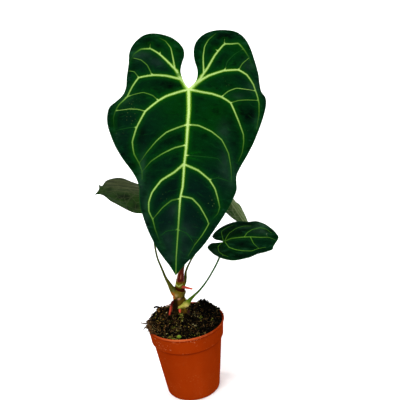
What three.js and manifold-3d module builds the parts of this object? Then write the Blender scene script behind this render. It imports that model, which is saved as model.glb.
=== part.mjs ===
// A young Anthurium regale in a terracotta-coloured nursery pot.
// Millimetres, +Z up. The origin is the middle of the pot's underside, and the
// large leaf shows its upper face towards -Y.

import * as THREE from 'three';
import { mergeVertices } from 'three/addons/utils/BufferGeometryUtils.js';
import Module from 'manifold-3d';

const wasm = await Module();
wasm.setup();

// Clearance between neighbours that touch on the real plant
const GAP = 0.3;

// Pot: a thin-walled moulded cone with a wider collar and a rolled lip
const POT_HEIGHT = 102;
const RIM_RADIUS = 52.5;
const BASE_RADIUS = 36.5;
const COLLAR_HEIGHT = 23;
const COLLAR_BOTTOM_RADIUS = 49.1;
const BODY_TOP_RADIUS = 46.8;
const WALL = 1.3;
const LIP_WIDTH = 2.6;
const LIP_HEIGHT = 2.8;
const FLOOR = 2.6;
const BASE_DISC_RADIUS = 22;
const BASE_RECESS = 1.2;
const FOOT_WIDTH = 3.5;
const DRAIN_COUNT = 8;
const DRAIN_RADIUS = 4.2;
const DRAIN_CIRCLE = 27.5;
const POT_SEGMENTS = 44;
const DRAIN_SEGMENTS = 12;
// How far the wall leans in from the lip to the collar's top
const LIP_OVERHANG = 1.3;

// Potting mix: a lumpy top, a little below the lip at the front
const MIX_LEVEL = 99.2;
const MIX_SEGMENTS = 40;
const MIX_TOP_RINGS = 10;
// Bank of mix heaped along the wall above the lip, at the back and the left: it
// rises between two values of y less a share of x
const MIX_BANK = { height: 5.6, radius: 47, spread: 5, share: 0.2, from: -20, to: 8 };
// Mounds and dips of the mix: x, y, radius, height
const MIX_MOUNDS = [
  [-7, 12, 9, 7],
  [-4, 18, 15, 2.6],
  [27, 38, 6, 3.6],
  [-36, 30, 6, 3],
  [10, 47, 5, -4.4],
  [30, -12, 9, 1.2],
  [-24, -26, 10, 0.9],
];
// Heights of the waves that make the mix lumpy, and the rim's width over which
// they fade out
const MIX_LUMPS = { coarse: 0.7, slanted: 0.55, fine: 0.35 };
const MIX_LUMP_FADE = 6;
const CHIP_COUNT = 34;
const CHIP_SIZE = [2.4, 5.8];
const PERLITE_COUNT = 9;
const PERLITE_SIZE = [2, 3.2];
const CHIP_TILT = 0.6;
const CHIP_FIELD_RADIUS = 42;
const CHIP_SEED = 5;
// Places that chips and perlite keep clear of: x, y, radius
const CHIP_FREE = [
  [-6.5, 15, 16],
  [-8.4, -44.5, 8],
  [-22, 14, 6],
];

const STEM_SIDES = 14;
const CATAPHYLL_SIDES = 12;
const LARGE_STALK_SIDES = 10;
const THIN_ROD_SIDES = 8;
const FIBRE_SIDES = 4;

// Stem and what stands on it. Each path point is x, y, z, radius, and where the
// section is not round a second radius along Y.
const STEM_PATH = [
  [-6, 18, 80, 5],
  [-6.2, 17.6, 92, 7.4],
  [-6.5, 17, 104, 9],
  [-6.9, 16.3, 110, 8.1],
  [-7, 16, 113, 8.8],
  [-6.6, 15.4, 119, 7.7],
  [-6, 15, 125, 8.2],
  [-5, 14.4, 130, 7.2],
  [-4, 14, 136, 7.6],
  [-3, 13.8, 141, 6.6, 7.6],
  [-2, 13.8, 146.5, 7, 8.6],
  [-0.8, 13.8, 155.6, 5.6, 8.4],
];
const STEM_STUB = [
  [-2, 15.5, 102, 2.2],
  [2.5, 13.5, 104.5, 2],
  [5.6, 12, 107.6, 1.5],
  [6.6, 11.4, 109.2, 0.7],
];
const ROOT_BUD = [
  [-5.2, 11, 130.6, 1.6],
  [-5.7, 6.2, 130.9, 1.5],
  [-5.8, 5.3, 130.9, 0.6],
];
const CATAPHYLL_PATH = [
  [-0.6, 9.8, 155, 5.2],
  [-0.1, 9.8, 159, 5.1],
  [1.2, 10, 165, 4.4],
  [3, 10.2, 170.5, 3.3],
  [5.6, 10.5, 176, 2],
  [8.6, 10.8, 181, 0.4],
];
const LARGE_PETIOLE_PATH = [
  [-1.2, 18.4, 146, 3.4],
  [-0.4, 18.4, 153, 3.5],
  [1.6, 18.4, 164, 3],
  [4.3, 18.2, 179, 2.6],
  [10.2, 17.2, 217, 2.4],
  [17.9, 15.4, 266, 2.3],
  [26.2, 13.2, 319, 2.2],
  [33.4, 11.4, 369, 2.3],
  [36.7, 10.2, 391, 3],
  [38.4, 7.6, 401, 3.1],
  [39, 3, 406, 2.8],
];
const REAR_PETIOLE_PATH = [
  [3.2, 17.2, 145, 1.6],
  [4.7, 18.6, 149, 2.4],
  [6.3, 20.2, 155, 2.1],
  [7.9, 22, 163, 1.5],
  [16.7, 26, 177.3, 1.2],
  [22.9, 28, 185, 1.15],
  [33, 33, 202, 1.15],
  [44, 38, 224.5, 1.2],
  [54.5, 42, 243.4, 1.3],
  [65, 44.6, 256.5, 1.7],
  [69, 45.4, 260.6, 1.8],
  [73, 46.6, 262.6, 1.5],
];
const LEFT_PETIOLE_PATH = [
  [-3, 7.5, 136.5, 2.6],
  [-7.6, 7.6, 136.5, 5],
  [-10.6, 8.2, 139.8, 4.6],
  [-13.2, 8.8, 146, 3.9],
  [-16.2, 9.2, 153.5, 2.6],
  [-19.6, 9.8, 162, 1.7],
  [-23.8, 13, 176.4, 1.3],
  [-27.6, 17, 189.3, 1.2],
  [-29.1, 22, 205, 1.15],
  [-28.6, 28, 225, 1.2],
  [-25.8, 34, 247, 1.4],
  [-21.8, 38.2, 262.5, 1.8],
  [-20.4, 40, 268.5, 1.8],
];
const RIGHT_PETIOLE_PATH = [
  [-8, 9, 118, 2],
  [-1, 7.2, 119, 3.4],
  [3.6, 5.8, 122, 4],
  [9, 4.6, 128.6, 2.6],
  [15, 3.2, 134.4, 1.6],
  [24.6, -1, 144.6, 1.15],
  [33.5, -5, 156.3, 1],
  [42.2, -9, 170.2, 1],
  [48.9, -12, 181.9, 1],
  [53.6, -14.6, 191.7, 1.1],
  [58.6, -17.4, 205, 1.4],
  [61.4, -19.4, 213.6, 1.6],
  [62, -20.2, 217, 1.4],
];
const ROOT_RIGHT_PATH = [
  [-1, 9, 147.4, 2.3],
  [4.4, 5.2, 147.4, 1.8],
  [9.5, 2, 146.9, 1.4],
  [13.4, -0.3, 146.6, 1.2],
  [14.8, -1.1, 146.5, 0.7],
];
const ROOT_LEFT_PATH = [
  [-11, 14.6, 125, 1.8],
  [-15.6, 12.6, 123.4, 1.9],
  [-17.9, 12, 117, 1.7],
  [-20, 13, 109.6, 1.6],
  [-21.5, 14, 105.2, 1.4],
  [-21.9, 14.3, 103.8, 0.8],
];
const ROOT_FRONT_PATH = [
  [-6.2, 11, 114.5, 1.7],
  [-6.3, 7, 113.4, 1.7],
  [-6.4, 5.6, 111.2, 1.4],
  [-6.5, 5.2, 109.8, 0.7],
];
// Leaf sheaths clasp the stem as slanted bands: x of the stem's axis, low and
// high edge there, and how much each edge climbs per millimetre of X
const SHEATH_THICKNESS = 1.5;
const SHEATH_REACH = 11;
const SHEATH_DEPTH = 60;
const SHEATH_MIDDLE_Y = 15;
// Where the edges meet, the band ends this far short of the tip
const SHEATH_TIP = 0.8;
const LEFT_SHEATH = { x: -4, low: 132.6, lowSlope: 0.36, high: 142, highSlope: -0.5 };
const RIGHT_SHEATH = { x: -6.5, low: 115.8, lowSlope: -0.15, high: 119, highSlope: 0.8 };

// Seedling near the front of the rim
const SEEDLING_BASE = [-8.4, -44.5];
const SEEDLING_HEIGHT = 4;
const SEEDLING_ROOT_DEPTH = 4;
const SEEDLING_STALK_RADIUS = 0.7;
const SEEDLING_LEAF = [3.1, 2.4, 0.6];
const SEEDLING_TILT = [0.5, 0.2];
const SEEDLING_HOLE_DEPTH = 6;

// Fibres of the mix that hang over the lip on the left
const RIM_FIBRES = [
  [[-43, 2, 98, 0.9], [-49, 0, 103.2, 0.8], [-55, -1.6, 104, 0.7], [-60.6, -2, 106.2, 0.5]],
  [[-42, -6, 98, 0.8], [-48, -9, 102.8, 0.6], [-54, -11, 103.4, 0.5], [-56.6, -12.5, 101, 0.4]],
];

// Dry curl of the mix that stands up at the back left
const MIX_CURL = [
  [-31, 31, 98, 2.4],
  [-33.4, 30.6, 104.6, 2],
  [-36.4, 30, 109.4, 1.6],
  [-40, 29, 111, 1.2],
  [-43.6, 28, 110, 0.7],
];

const COLOURS = {
  pot: 0xa8431a,
  mix: 0x241a12,
  stem: 0x4a3a1c,
  cataphyll: 0x5a1414,
  petiole: 0x5b7030,
  blade: 0x0b3a20,
  underside: 0x5d6b48,
  root: 0xc4503c,
  seedling: 0x5f9a3c,
};

// Meshing of a blade: points keep these distances from their neighbours, the
// last two in steps of the outline and of the grid
const CREST_CLEARANCE = 1.4;
const FOOT_CLEARANCE = 1.2;
const EDGE_CLEARANCE = 0.52;
const GRID_CLEARANCE = 0.55;
const POINT_JITTER = 0.04;
const POINT_SEED = 11;
// Half width from which a vein gets a foot line on either side of its crest
const FOOTED_VEIN = 0.85;
// A vein's foot lies this many half widths from its crest
const VEIN_FOOT = 1.5;
// Part of the leaf plane that the grid covers: half its width, and v from and to
const GRID_FIELD = { halfWidth: 110, from: -90, to: 240 };
const ROW_PITCH = Math.sqrt(3) / 2;
// Corners this far out hold all the points of a triangulation
const FAR_CORNER = 4000;
// Points closer than this are one point
const WELD = 1e-4;

// Leaf blades lie on a plane at the attachment: u runs across, v along the
// midrib towards the tip, and the form lifts the plane along its normal.
// A vein is its half width at the start and at the end, then its points.
const LARGE_LEAF = {
  attachment: [39.5, 5, 408.4],
  tip: [-0.7, -72, 200.5],
  faces: [0.03, -0.967, 0.254],
  thickness: 1,
  quilt: 1.7,
  quiltReach: 7,
  ribTop: 0.4,
  ribUnder: 0.6,
  edgeStep: 7.5,
  veinStep: 8,
  gridStep: 12,
  form: (u, v) => 0.9 - 0.0011 * u * u - 0.00025 * (v - 60) ** 2,
  // Local dents and swells of the margin: u, v, radius, height
  swells: [
    [-84, 12, 9, -5],
    [-94, 34, 12, 2.5],
    [90, -6, 7, -4.5],
    [96, 8, 8, 3],
    [72, -62, 14, 3.5],
    [38, -74, 14, -3],
    [-58, -58, 15, 3],
    [-66, 104, 14, -3],
    [66, 112, 14, 4],
    [50, 158, 14, -3],
    [-44, 158, 14, 3],
  ],
  right: [
    [0, 0], [6, -6], [9, -12], [9, -23], [5, -34], [3, -45], [4, -55], [9, -64], [17, -71],
    [28, -76], [40, -78], [52, -77], [61, -72], [68, -64], [75, -51], [84, -28], [87, -15],
    [90, -6], [95, 2], [96, 13], [94, 26], [85, 56], [78, 73], [70, 89], [65, 101], [65, 110],
    [66, 118], [63, 129], [54, 149], [43, 168], [32, 186], [21, 200], [11, 211], [5, 219],
    [0, 226],
  ],
  left: [
    [0, 0], [-4, -4], [-8, -11], [-11, -20], [-10, -30], [-8, -39], [-9, -47], [-14, -54],
    [-24, -61], [-34, -64], [-46, -65], [-56, -63], [-64, -58], [-71, -50], [-75, -40],
    [-75, -25], [-76, -8], [-76, 2], [-79, 11], [-88, 22], [-94, 29], [-96, 39], [-95, 50],
    [-91, 61], [-83, 77], [-74, 90], [-62, 104], [-55, 114], [-51, 124], [-50, 134],
    [-48, 147], [-43, 160], [-37, 174], [-24, 196], [-16, 206], [-8, 215], [0, 226],
  ],
  veins: [
    [2.6, 0.9, [0, 0], [2, 26], [2, 45], [2, 73], [1, 94], [1, 119], [-1, 134], [-1, 171], [-1, 204],
      [0, 224]],
    [2.4, 2.2, [0, 0], [-11, -12], [-16, -20]],
    [1.7, 0.8, [-11, -10], [-28, -13], [-43, -13], [-61, -9], [-68, 2], [-74, 15], [-82, 24],
      [-86, 33], [-88, 42], [-86, 56]],
    [1.7, 0.8, [-16, -20], [-29, -32], [-39, -40], [-49, -45], [-61, -44], [-69, -38], [-74, -27]],
    [1.4, 0.7, [-18, -22], [-21, -34], [-25, -48], [-32, -56], [-39, -59]],
    [0.8, 0.6, [-45, -13], [-52, -25], [-60, -31], [-69, -33]],
    [0.8, 0.6, [-61, -9], [-67, -16], [-73, -17]],
    [1.8, 0.9, [0, 2], [-14, 7], [-26, 12], [-35, 18], [-50, 32], [-59, 52], [-63, 70], [-60, 84],
      [-53, 95], [-49, 104], [-48, 114]],
    [0.8, 0.6, [-35, 18], [-43, 12], [-54, 9], [-66, 12], [-76, 16]],
    [0.9, 0.6, [-50, 32], [-59, 30], [-69, 30], [-85, 33]],
    [0.7, 0.5, [-60, 52], [-69, 53], [-84, 57]],
    [1.3, 0.8, [1, 45], [-9, 49], [-23, 56], [-34, 67], [-45, 82], [-53, 95]],
    [1.2, 0.8, [0, 70], [-12, 74], [-26, 82], [-39, 92], [-48, 104]],
    [1.6, 0.7, [1, 92], [-10, 103], [-25, 114], [-35, 129], [-38, 141], [-37, 152], [-32, 161],
      [-28, 173], [-23, 184], [-17, 195]],
    [1.1, 0.7, [-1, 134], [-11, 137], [-21, 146], [-32, 161]],
    [0.7, 0.5, [-2, 171], [-15, 174], [-22, 181]],
    [2.4, 2.2, [1, 0], [11, -9], [15, -16]],
    [1.7, 0.8, [15, -16], [21, -26], [29, -43], [40, -59], [49, -60], [57, -61], [64, -54], [71, -45],
      [78, -32]],
    [1.4, 0.7, [17, -20], [15, -40], [16, -53], [20, -62], [29, -72]],
    [1.8, 0.8, [11, -8], [23, -17], [41, -25], [59, -28], [70, -23], [79, -12], [84, -1], [87, 11],
      [88, 24], [86, 43]],
    [0.7, 0.6, [42, -25], [45, -37], [53, -47], [63, -54]],
    [0.8, 0.6, [59, -28], [64, -37], [71, -44]],
    [1.8, 0.8, [2, 2], [17, 4], [29, 5], [41, 8], [52, 14], [63, 35], [70, 51], [71, 60], [70, 73],
      [66, 84]],
    [0.9, 0.6, [41, 7], [48, 0], [58, -5], [71, -5], [81, -5]],
    [0.8, 0.6, [52, 14], [61, 10], [72, 8], [86, 7]],
    [1.3, 0.8, [3, 45], [15, 45], [31, 51], [44, 60], [53, 75], [57, 91], [59, 108]],
    [0.7, 0.5, [2, 82], [25, 82], [41, 83], [49, 92]],
    [1.6, 0.7, [1, 93], [18, 99], [32, 109], [40, 120], [47, 141], [45, 149], [41, 154], [36, 161]],
    [0.7, 0.5, [32, 109], [42, 106], [59, 110]],
    [1.3, 0.7, [-1, 131], [13, 133], [23, 142], [33, 157], [35, 162], [28, 176], [20, 188], [13, 202]],
    [0.7, 0.5, [-1, 171], [10, 175], [16, 182], [20, 188]],
  ],
};
const RIGHT_LEAF = {
  attachment: [62, -20, 215.4],
  tip: [126.6, -42, 219.3],
  faces: [0, -0.56, 0.83],
  thickness: 0.9,
  quilt: 1.3,
  quiltReach: 4,
  ribTop: 0.3,
  ribUnder: 0.5,
  edgeStep: 5,
  veinStep: 5.5,
  gridStep: 8,
  form: (u, v) => 0.9 - 0.004 * u * u - 0.0015 * (v - 25) ** 2,
  swells: [
    [26, 34, 7, -1.6],
    [30, 14, 7, 1.4],
    [20, 46, 5, 1.4],
    [-20, 40, 6, -1.6],
    [-14, 60, 5, 1.6],
  ],
  right: [
    [0, 0], [3, -6], [5, -12], [11, -18], [18, -16], [25, -10], [31, -1], [34, 12], [33, 26],
    [34, 37], [29, 47], [21, 57], [12, 65], [5, 69], [0, 68],
  ],
  left: [
    [0, 0], [0, -9], [0, -18], [-5, -22], [-14, -15], [-21, -5], [-26, 8], [-27, 18],
    [-24, 33], [-19, 44], [-17, 56], [-14, 63], [-9, 64], [-4, 66], [0, 68],
  ],
  veins: [
    [1.3, 0.6, [0, 0], [4, 9], [5, 22], [5, 34], [4, 46], [4, 57], [0, 66]],
    [0.8, 0.5, [2, -1], [13, -5], [18, -6], [23, -1], [27, 8]],
    [0.9, 0.5, [2, 1], [13, 5], [20, 13], [24, 23], [25, 32]],
    [0.8, 0.5, [5, 26], [12, 29], [18, 35], [19, 45], [17, 53], [11, 60]],
    [0.8, 0.5, [-1, -3], [-7, -7], [-14, -5], [-19, 1], [-22, 8]],
    [0.9, 0.5, [0, 1], [-9, 8], [-13, 17], [-15, 27], [-15, 37], [-12, 46], [-11, 55]],
    [0.8, 0.5, [5, 34], [-5, 39], [-12, 46]],
  ],
};
const LEFT_LEAF = {
  attachment: [-20, 40, 268.4],
  tip: [-103.3, 52, 276.3],
  faces: [0, 0.95, -0.31],
  thickness: 0.9,
  quilt: 1,
  quiltReach: 4,
  ribTop: 0.2,
  ribUnder: 0.7,
  edgeStep: 6,
  veinStep: 6.5,
  gridStep: 9,
  form: (u, v) => 0.5 * (Math.hypot(u - midribBow(v), 3) - 3),
  twist: (v) => THREE.MathUtils.degToRad(31 - 58 * THREE.MathUtils.smoothstep(v, 10, 75)),
  swells: [
    [21, 60, 6, -1.4],
    [-18, 32, 7, 1.4],
  ],
  right: [
    [0, 0], [3, -6], [7, -12], [13, -14], [19, -9], [22, 0], [22, 13], [20, 26], [21, 37],
    [23, 46], [23, 54], [21, 63], [18, 69], [12, 74], [13, 78], [8, 78], [5, 80], [0, 85],
  ],
  left: [
    [0, 0], [-3, -6], [-8, -13], [-14, -14], [-20, -7], [-22, 5], [-21, 19], [-20, 34],
    [-18, 46], [-15, 57], [-11, 65], [-4, 70], [0, 74], [1, 79], [0, 85],
  ],
  veins: [
    [1.2, 0.6, [0, 0], [1, 12], [2, 25], [5, 41], [7, 55], [5, 67], [2, 79]],
    [0.8, 0.5, [1, -1], [8, -6], [14, -5], [17, 3], [17, 13]],
    [0.9, 0.5, [1, 2], [9, 10], [13, 22], [15, 35], [17, 48], [16, 60]],
    [0.7, 0.5, [3, 28], [9, 38], [12, 50], [12, 62], [8, 71]],
    [0.8, 0.5, [-1, -1], [-8, -6], [-14, -5], [-17, 4], [-17, 12]],
    [0.9, 0.5, [0, 2], [-9, 9], [-14, 20], [-15, 32], [-12, 44]],
    [0.8, 0.5, [3, 28], [-4, 36], [-9, 46], [-8, 56], [-3, 66]],
  ],
};
const REAR_LEAF = {
  attachment: [71.3, 46, 261.5],
  tip: [107, 60, 186.7],
  faces: [-0.04, 0.92, -0.4],
  thickness: 1.1,
  quilt: 0.8,
  quiltReach: 4,
  ribTop: 0.2,
  ribUnder: 0.6,
  edgeStep: 5,
  veinStep: 6,
  gridStep: 7,
  form: (u) => 1.1 * (Math.hypot(u, 3) - 3),
  twist: (v) => THREE.MathUtils.degToRad(14 * THREE.MathUtils.smoothstep(v, 12, 34) - 14),
  swells: [
    [12, 26, 6, 1.4],
    [-9, 40, 6, -1.2],
  ],
  right: [
    [0, 0], [3, -6], [7, -11], [12, -11], [16, -4], [17, 7], [15, 20], [12, 33], [10, 42],
    [7, 51], [5, 61], [3, 72], [0, 84],
  ],
  left: [
    [0, 0], [-3, -6], [-7, -11], [-11, -10], [-13, -3], [-12, 8], [-9, 18], [-8, 25],
    [-10, 34], [-9, 44], [-8, 53], [-6, 61], [-3, 72], [0, 84],
  ],
  veins: [
    [1.2, 0.6, [0, 0], [0, 28], [0, 56], [0, 80]],
    [0.8, 0.5, [1, -1], [6, -5], [11, -4], [13, 5]],
    [0.9, 0.5, [1, 2], [7, 9], [10, 21], [8, 34], [5, 50]],
    [0.7, 0.5, [0, 24], [4, 32], [5, 44], [3, 60]],
    [0.8, 0.5, [-1, -1], [-6, -5], [-10, -3], [-9, 8]],
    [0.9, 0.5, [-1, 2], [-5, 12], [-5, 24], [-6, 38], [-4, 54]],
  ],
};

// How far the left leaf's midrib bows out of the straight line to its tip
function midribBow(v) {
  return 6 * Math.sin(Math.PI * THREE.MathUtils.clamp(v / 85, 0, 1));
}

// Repeatable random numbers from 0 to 1
function randomFrom(seed) {
  let state = seed;
  return () => {
    state = (state * 1664525 + 1013904223) % 4294967296;
    return state / 4294967296;
  };
}

// A closed geometry as a solid that can be joined and cut
function solidOf(geometry) {
  geometry.deleteAttribute('normal');
  geometry.deleteAttribute('uv');
  const merged = mergeVertices(geometry, WELD);
  return new wasm.Manifold(new wasm.Mesh({
    numProp: 3,
    vertProperties: new Float32Array(merged.attributes.position.array),
    triVerts: new Uint32Array(merged.index.array),
  }));
}

// The largest body of a solid as a geometry, without scraps left by a cut
function geometryOf(solid) {
  const bodies = solid.decompose();
  bodies.sort((a, b) => b.volume() - a.volume());
  const mesh = bodies[0].getMesh();
  const geometry = new THREE.BufferGeometry();
  geometry.setAttribute('position', new THREE.BufferAttribute(new Float32Array(mesh.vertProperties), 3));
  geometry.setIndex(Array.from(mesh.triVerts));
  return geometry;
}

function geometryFrom(vertices, triangles) {
  const geometry = new THREE.BufferGeometry();
  geometry.setAttribute('position', new THREE.Float32BufferAttribute(vertices, 3));
  geometry.setIndex(triangles);
  return geometry;
}

// A round or oval rod along a smooth path, grown by extra on every side
function rod(path, sides, extra = 0, stepsPerSpan = 2) {
  const curve = new THREE.CatmullRomCurve3(path.map(([x, y, z]) => new THREE.Vector3(x, y, z)));
  const spans = path.length - 1;
  const steps = spans * stepsPerSpan;
  const depth = new THREE.Vector3(0, 1, 0);
  const vertices = [];
  const triangles = [];
  for (let i = 0; i <= steps; i++) {
    const t = i / steps;
    const span = Math.min(Math.floor(t * spans), spans - 1);
    const part = t * spans - span;
    const [from, to] = [path[span], path[span + 1]];
    const radiusX = THREE.MathUtils.lerp(from[3], to[3], part) + extra;
    const radiusY = THREE.MathUtils.lerp(from[4] ?? from[3], to[4] ?? to[3], part) + extra;
    const tangent = curve.getTangent(t);
    const centre = curve.getPoint(t);
    if (i === 0) centre.addScaledVector(tangent, -extra);
    if (i === steps) centre.addScaledVector(tangent, extra);
    const side = new THREE.Vector3().crossVectors(depth, tangent).normalize();
    const front = new THREE.Vector3().crossVectors(tangent, side);
    for (let k = 0; k < sides; k++) {
      const angle = (2 * Math.PI * k) / sides;
      const point = centre.clone();
      point.addScaledVector(side, radiusX * Math.cos(angle));
      point.addScaledVector(front, radiusY * Math.sin(angle));
      vertices.push(point.x, point.y, point.z);
    }
  }
  for (let i = 0; i < steps; i++) {
    for (let k = 0; k < sides; k++) {
      const a = i * sides + k;
      const b = i * sides + ((k + 1) % sides);
      triangles.push(a, b, b + sides, a, b + sides, a + sides);
    }
  }
  const last = steps * sides;
  for (let k = 1; k < sides - 1; k++) {
    triangles.push(0, k + 1, k);
    triangles.push(last, last + k, last + k + 1);
  }
  return geometryFrom(vertices, triangles);
}

// Points at equal steps along a smooth line through flat points
function smoothLine(points, step) {
  const curve = new THREE.CatmullRomCurve3(points.map(([u, v]) => new THREE.Vector3(u, v, 0)));
  const count = Math.max(2, Math.round(curve.getLength() / step));
  return curve.getSpacedPoints(count).map((p) => [p.x, p.y]);
}

function distanceToSegment([u, v], [au, av], [bu, bv]) {
  const [du, dv] = [bu - au, bv - av];
  const along = ((u - au) * du + (v - av) * dv) / (du * du + dv * dv);
  const t = THREE.MathUtils.clamp(along, 0, 1);
  return { distance: Math.hypot(u - au - t * du, v - av - t * dv), t };
}

// Distance to a line of points, and how far along it the nearest place lies
function nearestOnLine(point, line) {
  let best = { distance: Infinity, t: 0 };
  for (let i = 0; i < line.length - 1; i++) {
    const hit = distanceToSegment(point, line[i], line[i + 1]);
    if (hit.distance < best.distance) {
      best = { distance: hit.distance, t: (i + hit.t) / (line.length - 1) };
    }
  }
  return best;
}

function isInside([u, v], polygon) {
  let inside = false;
  for (let i = 0, j = polygon.length - 1; i < polygon.length; j = i++) {
    const [ui, vi] = polygon[i];
    const [uj, vj] = polygon[j];
    if (vi > v !== vj > v && u < ((uj - ui) * (v - vi)) / (vj - vi) + ui) inside = !inside;
  }
  return inside;
}

// Triangles over flat points in which no point lies in another triangle's circle
function triangulate(points) {
  const all = [...points, [-FAR_CORNER, -FAR_CORNER], [FAR_CORNER, -FAR_CORNER], [0, FAR_CORNER]];
  const count = points.length;
  let triangles = [circumscribed(all, count, count + 1, count + 2)];
  for (let i = 0; i < count; i++) {
    const [u, v] = all[i];
    const holed = triangles.filter((t) => (u - t.u) ** 2 + (v - t.v) ** 2 < t.radiusSquared);
    const rim = new Map();
    for (const { corners: [a, b, c] } of holed) {
      for (const [from, to] of [[a, b], [b, c], [c, a]]) {
        if (!rim.delete(`${to},${from}`)) rim.set(`${from},${to}`, [from, to]);
      }
    }
    triangles = triangles.filter((t) => !holed.includes(t));
    for (const [from, to] of rim.values()) triangles.push(circumscribed(all, from, to, i));
  }
  return triangles.map((t) => t.corners).filter((corners) => Math.max(...corners) < count);
}

function circumscribed(points, a, b, c) {
  const [[au, av], [bu, bv], [cu, cv]] = [points[a], points[b], points[c]];
  const [pu, pv, qu, qv] = [bu - au, bv - av, cu - au, cv - av];
  const scale = 2 * (pu * qv - pv * qu);
  const [pp, qq] = [pu * pu + pv * pv, qu * qu + qv * qv];
  const du = (qv * pp - pv * qq) / scale;
  const dv = (pu * qq - qu * pp) / scale;
  return { corners: [a, b, c], u: au + du, v: av + dv, radiusSquared: du * du + dv * dv };
}

// A leaf blade: frame, veins as smooth lines, and the height of its middle sheet
class Blade {
  constructor(leaf) {
    this.leaf = leaf;
    this.origin = new THREE.Vector3(...leaf.attachment);
    this.along = new THREE.Vector3(...leaf.tip).sub(this.origin).normalize();
    this.normal = new THREE.Vector3(...leaf.faces);
    this.normal.addScaledVector(this.along, -this.normal.dot(this.along)).normalize();
    this.across = new THREE.Vector3().crossVectors(this.normal, this.along);
    this.veins = leaf.veins.map(([start, end, ...points]) => (
      { start, end, line: smoothLine(points, leaf.veinStep) }
    ));
    const right = smoothLine(leaf.right, leaf.edgeStep);
    const left = smoothLine(leaf.left, leaf.edgeStep);
    this.outline = [...right, ...left.slice(1, -1).reverse()];
  }

  // Relief of the veins at a point: 1 on a wide crest, 0 on the lamina
  relief(point) {
    let ridge = 0;
    let nearest = Infinity;
    for (const { start, end, line } of this.veins) {
      const { distance, t } = nearestOnLine(point, line);
      const width = THREE.MathUtils.lerp(start, end, t);
      ridge = Math.max(ridge, width * (1 - Math.min(1, distance / (VEIN_FOOT * width)) ** 2));
      nearest = Math.min(nearest, distance);
    }
    return { ridge, nearest };
  }

  // Heights of the upper and the lower face above the leaf plane
  faces(point, edgeDistance) {
    const { leaf } = this;
    const [u, v] = point;
    const { ridge, nearest } = this.relief(point);
    const margin = Math.min(1, edgeDistance / leaf.quiltReach);
    const puff = 1 - Math.exp(-((nearest / leaf.quiltReach) ** 2));
    let middle = leaf.form(u, v) + leaf.quilt * margin * puff;
    for (const [swellU, swellV, radius, height] of leaf.swells) {
      middle += height * Math.exp(-((u - swellU) ** 2 + (v - swellV) ** 2) / (2 * radius * radius));
    }
    return {
      upper: middle + leaf.thickness / 2 + leaf.ribTop * ridge * margin,
      lower: middle - leaf.thickness / 2 - leaf.ribUnder * ridge * margin,
    };
  }

  // A place on the blade, whose leaf plane may turn round the midrib on its way
  place([u, v], height) {
    const turn = this.leaf.twist?.(v) ?? 0;
    const across = this.across.clone().applyAxisAngle(this.along, turn);
    const normal = this.normal.clone().applyAxisAngle(this.along, turn);
    return this.origin.clone()
      .addScaledVector(across, u)
      .addScaledVector(this.along, v)
      .addScaledVector(normal, height)
      .toArray();
  }

  edgeDistance(point) {
    return nearestOnLine(point, [...this.outline, this.outline[0]]).distance;
  }

  // Outline, crest and foot of each vein, then a loose grid in the fields between
  flatPoints() {
    const { edgeStep, gridStep } = this.leaf;
    const random = randomFrom(POINT_SEED);
    const jitter = () => POINT_JITTER * (random() - 0.5);
    const points = this.outline.map(([u, v]) => [u + jitter(), v + jitter()]);
    const rim = [...points, points[0]];
    const add = (u, v, clearance) => {
      const point = [u + jitter(), v + jitter()];
      const crowded = points.some(([pu, pv]) => Math.hypot(pu - point[0], pv - point[1]) < clearance);
      if (crowded || !isInside(point, rim)) return;
      if (nearestOnLine(point, rim).distance > EDGE_CLEARANCE * edgeStep) points.push(point);
    };
    for (const { line } of this.veins) {
      for (const [u, v] of line) add(u, v, CREST_CLEARANCE);
    }
    for (const { start, end, line } of this.veins.filter((vein) => vein.start > FOOTED_VEIN)) {
      for (let i = 1; i < line.length - 1; i++) {
        const [du, dv] = [line[i + 1][0] - line[i - 1][0], line[i + 1][1] - line[i - 1][1]];
        const width = THREE.MathUtils.lerp(start, end, i / (line.length - 1));
        const foot = (VEIN_FOOT * width) / Math.hypot(du, dv);
        add(line[i][0] + dv * foot, line[i][1] - du * foot, FOOT_CLEARANCE);
        add(line[i][0] - dv * foot, line[i][1] + du * foot, FOOT_CLEARANCE);
      }
    }
    const rows = Math.floor((GRID_FIELD.to - GRID_FIELD.from) / (gridStep * ROW_PITCH));
    for (let row = 0; row <= rows; row++) {
      const v = GRID_FIELD.from + row * gridStep * ROW_PITCH;
      const shift = (row % 2) * gridStep * 0.5;
      for (let u = -GRID_FIELD.halfWidth; u < GRID_FIELD.halfWidth; u += gridStep) {
        add(u + shift, v, GRID_CLEARANCE * gridStep);
      }
    }
    return points;
  }

  // The closed blade, with each face moved out by extra
  geometry(extra = 0) {
    const points = this.flatPoints();
    const rim = points.slice(0, this.outline.length);
    const kept = triangulate(points).filter(([a, b, c]) => isInside([
      (points[a][0] + points[b][0] + points[c][0]) / 3,
      (points[a][1] + points[b][1] + points[c][1]) / 3,
    ], rim));
    const heights = points.map((point, i) => (
      this.faces(point, i < rim.length ? 0 : this.edgeDistance(point))
    ));
    const count = points.length;
    const vertices = points.flatMap((point, i) => this.place(point, heights[i].upper + extra));
    vertices.push(...points.flatMap((point, i) => this.place(point, heights[i].lower - extra)));
    const triangles = [];
    const open = new Map();
    for (const corners of kept) {
      const [a, b, c] = this.facesUp(points, corners);
      triangles.push(a, b, c, a + count, c + count, b + count);
      for (const [from, to] of [[a, b], [b, c], [c, a]]) {
        if (!open.delete(`${to},${from}`)) open.set(`${from},${to}`, [from, to]);
      }
    }
    for (const [from, to] of open.values()) {
      triangles.push(to, from, from + count, to, from + count, to + count);
    }
    return geometryFrom(vertices, triangles);
  }

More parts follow.
